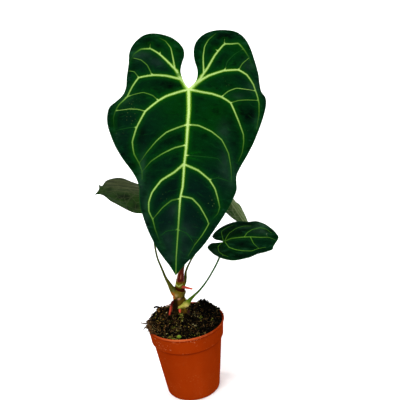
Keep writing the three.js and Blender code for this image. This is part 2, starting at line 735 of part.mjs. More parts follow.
  // Corners ordered so that the triangle faces along the blade's normal
  facesUp(points, [a, b, c]) {
    const [[au, av], [bu, bv], [cu, cv]] = [points[a], points[b], points[c]];
    const turnsLeft = (bu - au) * (cv - av) - (bv - av) * (cu - au) > 0;
    return turnsLeft ? [a, c, b] : [a, b, c];
  }
}

function potOuterRadius(z) {
  return THREE.MathUtils.lerp(BASE_RADIUS, BODY_TOP_RADIUS, z / (POT_HEIGHT - COLLAR_HEIGHT));
}

// The pot's section turned round Z, with its drain holes cut through the floor
function potGeometry() {
  const collarBottom = POT_HEIGHT - COLLAR_HEIGHT;
  const lipBottom = POT_HEIGHT - LIP_HEIGHT;
  const collarTopRadius = RIM_RADIUS - LIP_OVERHANG;
  const inner = RIM_RADIUS - LIP_WIDTH;
  const section = [
    [0, 0],
    [BASE_DISC_RADIUS, 0],
    [BASE_DISC_RADIUS + 1, BASE_RECESS],
    [BASE_RADIUS - FOOT_WIDTH - 1, BASE_RECESS],
    [BASE_RADIUS - FOOT_WIDTH, 0],
    [BASE_RADIUS - 0.8, 0],
    [potOuterRadius(1), 1],
    [BODY_TOP_RADIUS, collarBottom - 0.6],
    [COLLAR_BOTTOM_RADIUS - 0.5, collarBottom - 0.2],
    [COLLAR_BOTTOM_RADIUS, collarBottom + 0.4],
    [collarTopRadius, lipBottom],
    [RIM_RADIUS - 0.4, lipBottom + 0.5],
    [RIM_RADIUS, lipBottom + 1.6],
    [RIM_RADIUS - 0.5, POT_HEIGHT - 0.5],
    [RIM_RADIUS - 1.5, POT_HEIGHT],
    [inner + 0.5, POT_HEIGHT - 0.4],
    [inner, POT_HEIGHT - 1.6],
    [COLLAR_BOTTOM_RADIUS - WALL, collarBottom + 1.6],
    [BODY_TOP_RADIUS - WALL, collarBottom - 0.2],
    [potOuterRadius(FLOOR) - WALL, FLOOR],
    [0, FLOOR],
  ];
  const profile = section.map(([r, z]) => new THREE.Vector2(r, z));
  let solid = solidOf(new THREE.LatheGeometry(profile, POT_SEGMENTS).rotateX(Math.PI / 2));
  for (let i = 0; i < DRAIN_COUNT; i++) {
    const angle = (2 * Math.PI * (i + 0.5)) / DRAIN_COUNT;
    const drill = new THREE.CylinderGeometry(DRAIN_RADIUS, DRAIN_RADIUS, 4 * FLOOR, DRAIN_SEGMENTS);
    drill.rotateX(Math.PI / 2);
    drill.translate(DRAIN_CIRCLE * Math.cos(angle), DRAIN_CIRCLE * Math.sin(angle), 0);
    solid = solid.subtract(solidOf(drill));
  }
  return geometryOf(solid);
}

// Height of the potting mix at a place
function mixHeight(x, y) {
  const radius = Math.hypot(x, y);
  const { height: rise, spread, share, from, to } = MIX_BANK;
  const bank = Math.exp(-(((radius - MIX_BANK.radius) / spread) ** 2) / 2);
  let z = MIX_LEVEL + rise * bank * THREE.MathUtils.smoothstep(y - share * x, from, to);
  for (const [moundX, moundY, width, height] of MIX_MOUNDS) {
    z += height * Math.exp(-((x - moundX) ** 2 + (y - moundY) ** 2) / (2 * width * width));
  }
  const fade = Math.min(1, (RIM_RADIUS - 5 - radius) / MIX_LUMP_FADE + 0.5);
  const lumps = MIX_LUMPS.coarse * Math.sin(0.42 * x + 1.1) * Math.cos(0.37 * y - 0.6)
    + MIX_LUMPS.slanted * Math.sin(0.71 * x - 0.53 * y + 2)
    + MIX_LUMPS.fine * Math.cos(0.95 * y + 0.6 * x);
  return z + lumps * fade;
}

// Root ball: the pot's inside with a clearance, closed by the lumpy top
function mixBodyGeometry() {
  const collarBottom = POT_HEIGHT - COLLAR_HEIGHT;
  const inner = RIM_RADIUS - LIP_WIDTH - GAP - 0.2;
  const shift = WALL + GAP + 0.1;
  const rings = [
    [potOuterRadius(FLOOR) - shift, FLOOR + GAP],
    [BODY_TOP_RADIUS - shift, collarBottom - 0.4],
    [COLLAR_BOTTOM_RADIUS - shift, collarBottom + 1.8],
    [inner - 0.6, MIX_LEVEL - 1.6],
  ];
  const vertices = [0, 0, FLOOR + GAP];
  for (const [radius, z] of rings) {
    for (let k = 0; k < MIX_SEGMENTS; k++) {
      const angle = (2 * Math.PI * k) / MIX_SEGMENTS;
      vertices.push(radius * Math.cos(angle), radius * Math.sin(angle), z);
    }
  }
  for (let i = 0; i < MIX_TOP_RINGS; i++) {
    const radius = (inner - 0.9) * (1 - i / MIX_TOP_RINGS);
    for (let k = 0; k < MIX_SEGMENTS; k++) {
      const angle = (2 * Math.PI * (k + 0.5 * (i % 2))) / MIX_SEGMENTS;
      const [x, y] = [radius * Math.cos(angle), radius * Math.sin(angle)];
      vertices.push(x, y, mixHeight(x, y));
    }
  }
  vertices.push(0, 0, mixHeight(0, 0));
  const ringCount = rings.length + MIX_TOP_RINGS;
  const top = vertices.length / 3 - 1;
  const triangles = [];
  for (let k = 0; k < MIX_SEGMENTS; k++) {
    const next = (k + 1) % MIX_SEGMENTS;
    triangles.push(0, 1 + next, 1 + k);
    for (let i = 0; i < ringCount - 1; i++) {
      const [a, b] = [1 + i * MIX_SEGMENTS + k, 1 + i * MIX_SEGMENTS + next];
      triangles.push(a, b, b + MIX_SEGMENTS, a, b + MIX_SEGMENTS, a + MIX_SEGMENTS);
    }
    const last = 1 + (ringCount - 1) * MIX_SEGMENTS;
    triangles.push(last + k, last + next, top);
  }
  return geometryFrom(vertices, triangles);
}

// A free place on the mix, clear of the stem, the seedling and the lip
function mixPlace(random) {
  for (;;) {
    const radius = CHIP_FIELD_RADIUS * Math.sqrt(random());
    const angle = 2 * Math.PI * random();
    const [x, y] = [radius * Math.cos(angle), radius * Math.sin(angle)];
    if (CHIP_FREE.every(([cx, cy, clear]) => Math.hypot(x - cx, y - cy) > clear)) return [x, y];
  }
}

// Root ball with bark chips, perlite and rim fibres grown in, and a hole for the stem
function mixGeometry() {
  const random = randomFrom(CHIP_SEED);
  let solid = solidOf(mixBodyGeometry());
  for (let i = 0; i < CHIP_COUNT + PERLITE_COUNT; i++) {
    const [x, y] = mixPlace(random);
    const isChip = i < CHIP_COUNT;
    const size = THREE.MathUtils.lerp(...(isChip ? CHIP_SIZE : PERLITE_SIZE), random());
    const piece = isChip
      ? new THREE.BoxGeometry(size * 1.6, size, size * 0.8)
      : new THREE.IcosahedronGeometry(size * 0.8, 0);
    piece.rotateX(2 * CHIP_TILT * (random() - 0.5)).rotateY(2 * CHIP_TILT * (random() - 0.5));
    piece.rotateZ(2 * Math.PI * random());
    piece.translate(x, y, mixHeight(x, y) + (isChip ? 0.1 : 0.5) * size);
    solid = solid.add(solidOf(piece));
  }
  for (const path of [...RIM_FIBRES, MIX_CURL]) solid = solid.add(solidOf(rod(path, FIBRE_SIDES)));
  solid = solid.subtract(solidOf(rod(STEM_PATH, STEM_SIDES, GAP)));
  for (const path of [STEM_STUB, ROOT_LEFT_PATH, ROOT_FRONT_PATH, RIGHT_PETIOLE_PATH]) {
    solid = solid.subtract(solidOf(rod(path, THIN_ROD_SIDES, GAP)));
  }
  const [x, y] = SEEDLING_BASE;
  const holeRadius = SEEDLING_STALK_RADIUS + GAP;
  const holeLength = 2 * SEEDLING_HOLE_DEPTH;
  const hole = new THREE.CylinderGeometry(holeRadius, holeRadius, holeLength, THIN_ROD_SIDES);
  hole.rotateX(Math.PI / 2).translate(x, y, mixHeight(x, y));
  solid = solid.subtract(solidOf(hole));
  return geometryOf(solid);
}

// Stem with its node rings, the stub of an old leaf and a root bud
function stemSolid(extra = 0) {
  const stub = solidOf(rod(STEM_STUB, THIN_ROD_SIDES, extra));
  const bud = solidOf(rod(ROOT_BUD, THIN_ROD_SIDES, extra));
  return solidOf(rod(STEM_PATH, STEM_SIDES, extra)).add(stub).add(bud);
}

// What lies between two planes that slope along X, round the stem's axis
function slopedSlab({ x, low, lowSlope, high, highSlope }) {
  const meet = (high - low) / (lowSlope - highSlope);
  const left = meet < 0 ? Math.max(-SHEATH_REACH, meet + SHEATH_TIP) : -SHEATH_REACH;
  const right = meet > 0 ? Math.min(SHEATH_REACH, meet - SHEATH_TIP) : SHEATH_REACH;
  const corners = [
    new THREE.Vector2(x + left, low + left * lowSlope),
    new THREE.Vector2(x + right, low + right * lowSlope),
    new THREE.Vector2(x + right, high + right * highSlope),
    new THREE.Vector2(x + left, high + left * highSlope),
  ];
  const options = { depth: SHEATH_DEPTH, bevelEnabled: false };
  const slab = new THREE.ExtrudeGeometry(new THREE.Shape(corners), options);
  return solidOf(slab.rotateX(Math.PI / 2).translate(0, SHEATH_MIDDLE_Y + SHEATH_DEPTH / 2, 0));
}

// Band of a leaf sheath that clasps the stem
function sheathBand(sheath) {
  const sleeve = solidOf(rod(STEM_PATH, STEM_SIDES, SHEATH_THICKNESS));
  return sleeve.intersect(slopedSlab(sheath));
}

// A leaf stalk cut clear of the solids round it
function stalkGeometry(path, sides, neighbours, band) {
  let solid = solidOf(rod(path, sides));
  if (band) solid = solid.add(band);
  for (const neighbour of neighbours) solid = solid.subtract(neighbour);
  return geometryOf(solid);
}

// Stalk in the mix with one small round leaf
function seedlingGeometry() {
  const [x, y] = SEEDLING_BASE;
  const ground = mixHeight(x, y);
  const stalkPath = [
    [x, y, ground - SEEDLING_ROOT_DEPTH, SEEDLING_STALK_RADIUS],
    [x, y, ground + SEEDLING_HEIGHT, 0.6],
  ];
  const stalk = solidOf(rod(stalkPath, 6));
  const leaf = new THREE.SphereGeometry(1, 12, 6).scale(...SEEDLING_LEAF);
  leaf.rotateX(SEEDLING_TILT[0]).rotateY(SEEDLING_TILT[1]);
  leaf.translate(x, y - 0.6, ground + SEEDLING_HEIGHT);
  return geometryOf(stalk.add(solidOf(leaf)));
}

const part = new THREE.Group();

function addNode(name, geometry, colour, roughness) {
  geometry.computeVertexNormals();
  const material = new THREE.MeshStandardMaterial({ color: colour, roughness, metalness: 0 });
  const mesh = new THREE.Mesh(geometry, material);
  mesh.name = name;
  part.add(mesh);
}

const blades = {
  large: new Blade(LARGE_LEAF),
  left: new Blade(LEFT_LEAF),
  right: new Blade(RIGHT_LEAF),
  rear: new Blade(REAR_LEAF),
};
const bladeCut = (blade) => solidOf(blade.geometry(GAP));
const stemCut = stemSolid(GAP);
const cataphyll = solidOf(rod(CATAPHYLL_PATH, CATAPHYLL_SIDES)).subtract(stemCut);
const cataphyllCut = solidOf(rod(CATAPHYLL_PATH, CATAPHYLL_SIDES, GAP));
const largeStalkCut = solidOf(rod(LARGE_PETIOLE_PATH, LARGE_STALK_SIDES, GAP));
const roundStalk = (path, ...rest) => stalkGeometry(path, THIN_ROD_SIDES, ...rest);
const rearNeighbours = [stemCut, cataphyllCut, largeStalkCut, bladeCut(blades.rear)];
const largeStalk = stalkGeometry(
  LARGE_PETIOLE_PATH,
  LARGE_STALK_SIDES,
  [stemCut, cataphyllCut, bladeCut(blades.large)],
);
const leftStalk = roundStalk(
  LEFT_PETIOLE_PATH,
  [stemCut, bladeCut(blades.left)],
  sheathBand(LEFT_SHEATH),
);
const rightStalk = roundStalk(
  RIGHT_PETIOLE_PATH,
  [stemCut, bladeCut(blades.right)],
  sheathBand(RIGHT_SHEATH),
);

addNode('pot', potGeometry(), COLOURS.pot, 0.5);
addNode('potting_mix', mixGeometry(), COLOURS.mix, 0.95);
addNode('stem', geometryOf(stemSolid()), COLOURS.stem, 0.6);
addNode('cataphyll', geometryOf(cataphyll), COLOURS.cataphyll, 0.5);
addNode('large_leaf_blade', blades.large.geometry(), COLOURS.blade, 0.55);
addNode('left_leaf_blade', blades.left.geometry(), COLOURS.underside, 0.6);
addNode('right_leaf_blade', blades.right.geometry(), COLOURS.blade, 0.55);
addNode('rear_leaf_blade', blades.rear.geometry(), COLOURS.underside, 0.6);
addNode('large_leaf_stalk', largeStalk, COLOURS.petiole, 0.5);
addNode('left_leaf_stalk', leftStalk, COLOURS.petiole, 0.5);
addNode('right_leaf_stalk', rightStalk, COLOURS.petiole, 0.5);
addNode('rear_leaf_stalk', roundStalk(REAR_PETIOLE_PATH, rearNeighbours), COLOURS.petiole, 0.5);
addNode('aerial_root_right', roundStalk(ROOT_RIGHT_PATH, [stemCut]), COLOURS.root, 0.5);
addNode('aerial_root_left', roundStalk(ROOT_LEFT_PATH, [stemCut]), COLOURS.root, 0.5);
addNode('aerial_root_front', roundStalk(ROOT_FRONT_PATH, [stemCut]), COLOURS.root, 0.5);
addNode('seedling', seedlingGeometry(), COLOURS.seedling, 0.6);

export default part;
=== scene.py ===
"""Looks of a young Anthurium regale in a terracotta-coloured nursery pot.

Lengths are in millimetres until a mesh is made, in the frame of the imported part:
+Z up, origin in the middle of the pot's underside, large leaf facing -Y. Colours
are from 0 to 255, as a screen shows them, until a material or a mesh gets them.
"""

import math
import random

import bpy
import numpy as np
from mathutils import Matrix, Quaternion, Vector, noise
from mathutils.geometry import delaunay_2d_cdt


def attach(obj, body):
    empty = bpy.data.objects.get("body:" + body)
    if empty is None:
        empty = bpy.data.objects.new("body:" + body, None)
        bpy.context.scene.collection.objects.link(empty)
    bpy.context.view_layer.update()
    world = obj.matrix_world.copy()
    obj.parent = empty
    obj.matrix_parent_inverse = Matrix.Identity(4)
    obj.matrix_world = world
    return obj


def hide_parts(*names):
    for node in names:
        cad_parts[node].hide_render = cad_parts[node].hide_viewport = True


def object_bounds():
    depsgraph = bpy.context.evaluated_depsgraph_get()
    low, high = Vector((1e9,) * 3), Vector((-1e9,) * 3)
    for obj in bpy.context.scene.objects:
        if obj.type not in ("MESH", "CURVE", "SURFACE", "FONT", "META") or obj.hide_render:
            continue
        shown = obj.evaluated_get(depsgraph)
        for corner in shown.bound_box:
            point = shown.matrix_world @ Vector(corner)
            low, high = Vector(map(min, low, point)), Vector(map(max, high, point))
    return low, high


MM = 0.001
TURN = 2 * math.pi
# Points that are measured against a line at once
BATCH = 4000

POT_HEIGHT = 102
RIM_RADIUS = 52.5
BASE_RADIUS = 36.5
COLLAR_HEIGHT = 23
COLLAR_BOTTOM = POT_HEIGHT - COLLAR_HEIGHT
COLLAR_BOTTOM_RADIUS = 49.1
BODY_TOP_RADIUS = 46.8
WALL = 1.3
LIP_WIDTH = 2.6
LIP_HEIGHT = 2.8
LIP_OVERHANG = 1.3
FLOOR = 2.6
BASE_DISC_RADIUS = 22
BASE_RECESS = 1.2
FOOT_WIDTH = 3.5
DRAIN_COUNT = 8
DRAIN_RADIUS = 4.2
DRAIN_CIRCLE = 27.5
DRILL_FROM, DRILL_TO = -4, 8
DRILL_SIDES = 28
EDGE_ROUNDING = 0.42
POT_SEGMENTS = 220
MIX_LEVEL = 99.2
MIX_RINGS = 110
MIX_SEGMENTS = 300
GAP = 0.3
# Mix heaped along the wall, at the back and the left: it rises between two values
# of y less a share of x
BANK_HEIGHT = 5.6
BANK_RADIUS = 47
BANK_SPREAD = 5
BANK_SHARE = 0.2
BANK_FROM = -20
BANK_TO = 8
# Mounds and hollows of the mix: x, y, reach, height
MIX_MOUNDS = (
    (-7, 12, 9, 7), (-4, 18, 15, 2.6), (27, 38, 6, 3.6), (-36, 30, 6, 3), (10, 47, 5, -4.4),
    (30, -12, 9, 1.2), (-24, -26, 10, 0.9),
)
# Paths of round or oval rods: x, y, z, radius, and a second radius where it is oval
STEM_PATH = (
    (-6, 18, 80, 5), (-6.2, 17.6, 92, 7.4), (-6.5, 17, 104, 9), (-6.9, 16.3, 110, 8.1),
    (-7, 16, 113, 8.8), (-6.6, 15.4, 119, 7.7), (-6, 15, 125, 8.2), (-5, 14.4, 130, 7.2),
    (-4, 14, 136, 7.6), (-3, 13.8, 141, 6.6, 7.6), (-2, 13.8, 146.5, 7, 8.6),
    (-0.8, 13.8, 155.6, 5.6, 8.4),
)
STEM_STUB = (
    (-2, 15.5, 102, 2.2), (2.5, 13.5, 104.5, 2), (5.6, 12, 107.6, 1.5), (6.6, 11.4, 109.2, 0.7),
)
ROOT_BUD = (
    (-5.2, 11, 130.6, 1.6), (-5.7, 6.2, 130.9, 1.5), (-5.8, 5.3, 130.9, 0.6),
)
# A withered scale on the stem's right side, over the lower leaf's sheath
STEM_SCALE = ((-1, 12, 121, 2), (2.2, 10.5, 124.4, 1.8), (4.4, 9.6, 127.4, 0.6))
CATAPHYLL_PATH = (
    (-0.6, 9.8, 155, 5.2), (-0.1, 9.8, 159, 5.1), (1.2, 10, 165, 4.4), (3, 10.2, 170.5, 3.3),
    (5.6, 10.5, 176, 2), (8.6, 10.8, 181, 0.4),
)
LARGE_PETIOLE_PATH = (
    (-1.2, 18.4, 146, 3.4), (-0.4, 18.4, 153, 3.5), (1.6, 18.4, 164, 3), (4.3, 18.2, 179, 2.6),
    (10.2, 17.2, 217, 2.4), (17.9, 15.4, 266, 2.3), (26.2, 13.2, 319, 2.2),
    (33.4, 11.4, 369, 2.3), (36.7, 10.2, 391, 3), (38.4, 7.6, 401, 3.1), (39, 3, 406, 2.8),
)
REAR_PETIOLE_PATH = (
    (3.2, 17.2, 145, 1.6), (4.7, 18.6, 149, 2.4), (6.3, 20.2, 155, 2.1), (7.9, 22, 163, 1.5),
    (16.7, 26, 177.3, 1.2), (22.9, 28, 185, 1.15), (33, 33, 202, 1.15), (44, 38, 224.5, 1.2),
    (54.5, 42, 243.4, 1.3), (65, 44.6, 256.5, 1.7), (69, 45.4, 260.6, 1.8),
    (73, 46.6, 262.6, 1.5),
)
LEFT_PETIOLE_PATH = (
    (-3, 7.5, 136.5, 2.6), (-7.6, 7.6, 136.5, 5), (-10.6, 8.2, 139.8, 4.6),
    (-13.2, 8.8, 146, 3.9), (-16.2, 9.2, 153.5, 2.6), (-19.6, 9.8, 162, 1.7),
    (-23.8, 13, 176.4, 1.3), (-27.6, 17, 189.3, 1.2), (-29.1, 22, 205, 1.15),
    (-28.6, 28, 225, 1.2), (-25.8, 34, 247, 1.4), (-21.8, 38.2, 262.5, 1.8),
    (-20.4, 40, 268.5, 1.8),
)
RIGHT_PETIOLE_PATH = (
    (-8, 9, 118, 2), (-1, 7.2, 119, 3.4), (3.6, 5.8, 122, 4), (9, 4.6, 128.6, 2.6),
    (15, 3.2, 134.4, 1.6), (24.6, -1, 144.6, 1.15), (33.5, -5, 156.3, 1), (42.2, -9, 170.2, 1),
    (48.9, -12, 181.9, 1), (53.6, -14.6, 191.7, 1.1), (58.6, -17.4, 205, 1.4),
    (61.4, -19.4, 213.6, 1.6), (62, -20.2, 217, 1.4),
)
ROOT_RIGHT_PATH = (
    (-1, 9, 147.4, 2.3), (4.4, 5.2, 147.4, 1.8), (9.5, 2, 146.9, 1.4), (13.4, -0.3, 146.6, 1.2),
    (14.8, -1.1, 146.5, 0.7),
)
ROOT_LEFT_PATH = (
    (-11, 14.6, 125, 1.8), (-15.6, 12.6, 123.4, 1.9), (-17.9, 12, 117, 1.7),
    (-20, 13, 109.6, 1.6), (-21.5, 14, 105.2, 1.4), (-21.9, 14.3, 103.8, 0.8),
)
ROOT_FRONT_PATH = (
    (-6.2, 11, 114.5, 1.7), (-6.3, 7, 113.4, 1.7), (-6.4, 5.6, 111.2, 1.4),
    (-6.5, 5.2, 109.8, 0.7),
)
SEEDLING_BASE = (-8.4, -44.5)
RIM_FIBRES = (
    ((-43, 2, 98, 0.9), (-49, 0, 103.2, 0.8), (-55, -1.6, 104, 0.7), (-60.6, -2, 106.2, 0.5)),
    ((-42, -6, 98, 0.8), (-48, -9, 102.8, 0.6), (-54, -11, 103.4, 0.5), (-56.6, -12.5, 101, 0.4)),
)
MIX_CURL = (
    (-31, 31, 98, 2.4), (-33.4, 30.6, 104.6, 2), (-36.4, 30, 109.4, 1.6), (-40, 29, 111, 1.2),
    (-43.6, 28, 110, 0.7),
)
# Leaves, on a plane through the attachment and the tip: u across, v along the midrib.
# quilt, quilt_reach: how far the fields between veins bulge, and how far from a vein.
# rib_top, rib_under: height of a vein on each face as a share of its half width.
# swells: u, v, radius, height of dents and swells of the margin. right, left: halves of the
# outline. veins: half widths at both ends, then points. zones of colour: u, v, reach across,
# reach along, amount; dark zones take the painted shade, the sheen zones a painted sheen, and
# tone parts the underside's pale and deep sides.
LARGE_LEAF = {
    "attachment": (39.5, 5, 408.4), "tip": (-0.7, -72, 200.5), "faces": (0.03, -0.967, 0.254),
    "thickness": 1, "quilt": 1.7, "quilt_reach": 7, "rib_top": 0.4, "rib_under": 0.6,
    "swells": (
        (-84, 12, 9, -5), (-94, 34, 12, 2.5), (90, -6, 7, -4.5), (96, 8, 8, 3),
        (72, -62, 14, 3.5), (38, -74, 14, -3), (-58, -58, 15, 3), (-66, 104, 14, -3),
        (66, 112, 14, 4), (50, 158, 14, -3), (-44, 158, 14, 3),
    ),
    "right": (
        (0, 0), (6, -6), (9, -12), (9, -23), (5, -34), (3, -45), (4, -55), (9, -64), (17, -71),
        (28, -76), (40, -78), (52, -77), (61, -72), (68, -64), (75, -51), (84, -28), (87, -15),
        (90, -6), (95, 2), (96, 13), (94, 26), (85, 56), (78, 73), (70, 89), (65, 101), (65, 110),
        (66, 118), (63, 129), (54, 149), (43, 168), (32, 186), (21, 200), (11, 211), (5, 219),
        (0, 226),
    ),
    "left": (
        (0, 0), (-4, -4), (-8, -11), (-11, -20), (-10, -30), (-8, -39), (-9, -47), (-14, -54),
        (-24, -61), (-34, -64), (-46, -65), (-56, -63), (-64, -58), (-71, -50), (-75, -40),
        (-75, -25), (-76, -8), (-76, 2), (-79, 11), (-88, 22), (-94, 29), (-96, 39), (-95, 50),
        (-91, 61), (-83, 77), (-74, 90), (-62, 104), (-55, 114), (-51, 124), (-50, 134),
        (-48, 147), (-43, 160), (-37, 174), (-24, 196), (-16, 206), (-8, 215), (0, 226),
    ),
    "veins": (
        (2.6, 0.9, (0, 0), (2, 26), (2, 45), (2, 73), (1, 94), (1, 119), (-1, 134), (-1, 171),
            (-1, 204), (0, 224)),
        (2.4, 2.2, (0, 0), (-11, -12), (-16, -20)),
        (1.7, 0.8, (-11, -10), (-28, -13), (-43, -13), (-61, -9), (-68, 2), (-74, 15),
            (-82, 24), (-86, 33), (-88, 42), (-86, 56)),
        (1.7, 0.8, (-16, -20), (-29, -32), (-39, -40), (-49, -45), (-61, -44), (-69, -38),
            (-74, -27)),
        (1.4, 0.7, (-18, -22), (-21, -34), (-25, -48), (-32, -56), (-39, -59)),
        (0.8, 0.6, (-45, -13), (-52, -25), (-60, -31), (-69, -33)),
        (0.8, 0.6, (-61, -9), (-67, -16), (-73, -17)),
        (1.8, 0.9, (0, 2), (-14, 7), (-26, 12), (-35, 18), (-50, 32), (-59, 52), (-63, 70),
            (-60, 84), (-53, 95), (-49, 104), (-48, 114)),
        (0.8, 0.6, (-35, 18), (-43, 12), (-54, 9), (-66, 12), (-76, 16)),
        (0.9, 0.6, (-50, 32), (-59, 30), (-69, 30), (-85, 33)),
        (0.7, 0.5, (-60, 52), (-69, 53), (-84, 57)),
        (1.3, 0.8, (1, 45), (-9, 49), (-23, 56), (-34, 67), (-45, 82), (-53, 95)),
        (1.2, 0.8, (0, 70), (-12, 74), (-26, 82), (-39, 92), (-48, 104)),
        (1.6, 0.7, (1, 92), (-10, 103), (-25, 114), (-35, 129), (-38, 141), (-37, 152),
            (-32, 161), (-28, 173), (-23, 184), (-17, 195)),
        (1.1, 0.7, (-1, 134), (-11, 137), (-21, 146), (-32, 161)),
        (0.7, 0.5, (-2, 171), (-15, 174), (-22, 181)),
        (2.4, 2.2, (1, 0), (11, -9), (15, -16)),
        (1.7, 0.8, (15, -16), (21, -26), (29, -43), (40, -59), (49, -60), (57, -61), (64, -54),
            (71, -45), (78, -32)),
        (1.4, 0.7, (17, -20), (15, -40), (16, -53), (20, -62), (29, -72)),
        (1.8, 0.8, (11, -8), (23, -17), (41, -25), (59, -28), (70, -23), (79, -12), (84, -1),
            (87, 11), (88, 24), (86, 43)),
        (0.7, 0.6, (42, -25), (45, -37), (53, -47), (63, -54)),
        (0.8, 0.6, (59, -28), (64, -37), (71, -44)),
        (1.8, 0.8, (2, 2), (17, 4), (29, 5), (41, 8), (52, 14), (63, 35), (70, 51), (71, 60),
            (70, 73), (66, 84)),
        (0.9, 0.6, (41, 7), (48, 0), (58, -5), (71, -5), (81, -5)),
        (0.8, 0.6, (52, 14), (61, 10), (72, 8), (86, 7)),
        (1.3, 0.8, (3, 45), (15, 45), (31, 51), (44, 60), (53, 75), (57, 91), (59, 108)),
        (0.7, 0.5, (2, 82), (25, 82), (41, 83), (49, 92)),
        (1.6, 0.7, (1, 93), (18, 99), (32, 109), (40, 120), (47, 141), (45, 149), (41, 154),
            (36, 161)),
        (0.7, 0.5, (32, 109), (42, 106), (59, 110)),
        (1.3, 0.7, (-1, 131), (13, 133), (23, 142), (33, 157), (35, 162), (28, 176), (20, 188),
            (13, 202)),
        (0.7, 0.5, (-1, 171), (10, 175), (16, 182), (20, 188)),
        (0.76, 0.4, (-50, -45), (-50, -51)),
        (0.76, 0.4, (-38, -39), (-37, -42)),
        (0.78, 0.4, (40, -58), (40, -66)),
        (0.76, 0.4, (33, -49), (30, -51)),
    ),
    "zones": {
        "warm": (
            (-26, 28, 26, 30, 0.8), (34, 30, 26, 30, 0.9), (-16, -48, 12, 12, 0.9),
            (60, 150, 16, 40, 0.9), (-60, 112, 12, 26, 0.5), (18, 84, 24, 22, 0.6),
            (-30, -58, 20, 6, 0.7), (60, -58, 14, 12, 0.5), (-12, 22, 14, 12, 0.9),
        ),
        "dark": (
            (-54, -51, 7, 7, 1.3), (-40, -42, 5, 6, 0.9), (-24, -2, 18, 7, 1.1),
            (-87, 42, 8, 10, 0.8), (-53, 61, 6, 12, 0.9), (-17, 65, 14, 8, 0.8),
            (36, -68, 8, 5, 1.2), (46, -69, 6, 5, 0.9), (29, -53, 6, 8, 0.8),
            (72, 26, 11, 7, 1.5), (51, 34, 8, 10, 0.8), (76, -34, 8, 6, 0.5),
            (-66, 98, 12, 9, 0.6), (-14, 122, 12, 18, 0.4), (-40, 158, 8, 14, 0.5),
            (20, 204, 8, 10, 0.4),
        ),
        "cool": (
            (0, 170, 60, 52, 1.0), (-46, 40, 26, 30, 0.5), (50, 100, 30, 30, 0.45),
            (-40, -26, 20, 12, 0.7), (76, -20, 18, 26, 0.6), (-74, 60, 14, 26, 0.5),
            (0, 120, 40, 24, 0.4),
        ),
        # Painted sheen: pale grey-green zones over the dark fields
        "veil": (
            (-63, -37, 12, 6, 0.55), (-39, -29, 8, 5, 0.4), (-82, 16, 12, 10, 0.4),
            (73, -36, 9, 7, 0.45), (81, -9, 9, 6, 0.6), (60, 5, 8, 4, 0.3), (45, 50, 7, 12, 0.35),
            (86, 34, 5, 10, 0.25), (-49, 106, 4, 22, 0.6), (-40, 148, 4, 24, 0.5),
            (-6, 149, 7, 9, 0.4), (-12, 184, 13, 14, 0.25), (6, 172, 12, 10, 0.35),
            (50, 89, 7, 18, 0.4), (60, 104, 6, 14, 0.4), (10, 196, 12, 10, 0.2),
            (-5, 206, 8, 8, 0.3),
        ),
        "specks": (
            (-16, 133, 6, 4, 0.9), (37, 137, 5, 7, 0.8), (23, 156, 5, 6, 0.7),
            (-67, 34, 8, 14, 0.6),
        ),
        "tone": ((0, 60, 200, 300, 0.7),),
    },
}
RIGHT_LEAF = {
    "attachment": (62, -20, 215.4), "tip": (126.6, -42, 219.3), "faces": (0, -0.56, 0.83),
    "thickness": 0.9, "quilt": 1.3, "quilt_reach": 4, "rib_top": 0.3, "rib_under": 0.5,
    "swells": (
        (26, 34, 7, -1.6), (30, 14, 7, 1.4), (20, 46, 5, 1.4), (-20, 40, 6, -1.6),
        (-14, 60, 5, 1.6),
    ),
    "right": (
        (0, 0), (3, -6), (5, -12), (11, -18), (18, -16), (25, -10), (31, -1), (34, 12), (33, 26),
        (34, 37), (29, 47), (21, 57), (12, 65), (5, 69), (0, 68),
    ),
    "left": (
        (0, 0), (0, -9), (0, -18), (-5, -22), (-14, -15), (-21, -5), (-26, 8), (-27, 18),
        (-24, 33), (-19, 44), (-17, 56), (-14, 63), (-9, 64), (-4, 66), (0, 68),
    ),
    "veins": (
        (1.3, 0.6, (0, 0), (4, 9), (5, 22), (5, 34), (4, 46), (4, 57), (0, 66)),
        (0.8, 0.5, (2, -1), (13, -5), (18, -6), (23, -1), (27, 8)),
        (0.9, 0.5, (2, 1), (13, 5), (20, 13), (24, 23), (25, 32)),
        (0.8, 0.5, (5, 26), (12, 29), (18, 35), (19, 45), (17, 53), (11, 60)),
        (0.8, 0.5, (-1, -3), (-7, -7), (-14, -5), (-19, 1), (-22, 8)),
        (0.9, 0.5, (0, 1), (-9, 8), (-13, 17), (-15, 27), (-15, 37), (-12, 46), (-11, 55)),
        (0.8, 0.5, (5, 34), (-5, 39), (-12, 46)),
    ),
    "zones": {
        "warm": ((8, 12, 10, 14, 0.5),),
        "dark": (
            (26, 30, 7, 5, 1.0), (-20, 50, 8, 10, 1.0), (-16, 2, 6, 8, 0.7), (12, 20, 5, 7, 0.9),
            (-7, 26, 5, 8, 0.9), (-22, 24, 5, 12, 0.8), (22, 8, 5, 5, 0.7), (10, 42, 4, 8, 0.6),
        ),
        "cool": ((20, 10, 20, 30, 0.5),),
        # Painted sheen: pale grey-green zones over the dark fields
        "veil": (
            (23, 46, 6, 8, 0.6), (13, 48, 4, 9, 0.4), (-14, -8, 6, 6, 0.4), (22, 24, 3, 10, 0.4),
        ),
        "specks": ((8, 56, 3, 2.5, 1.0), (-24, 2, 4, 4, 0.6)),
        "tone": ((0, 60, 200, 300, 0.7),),
    },
}
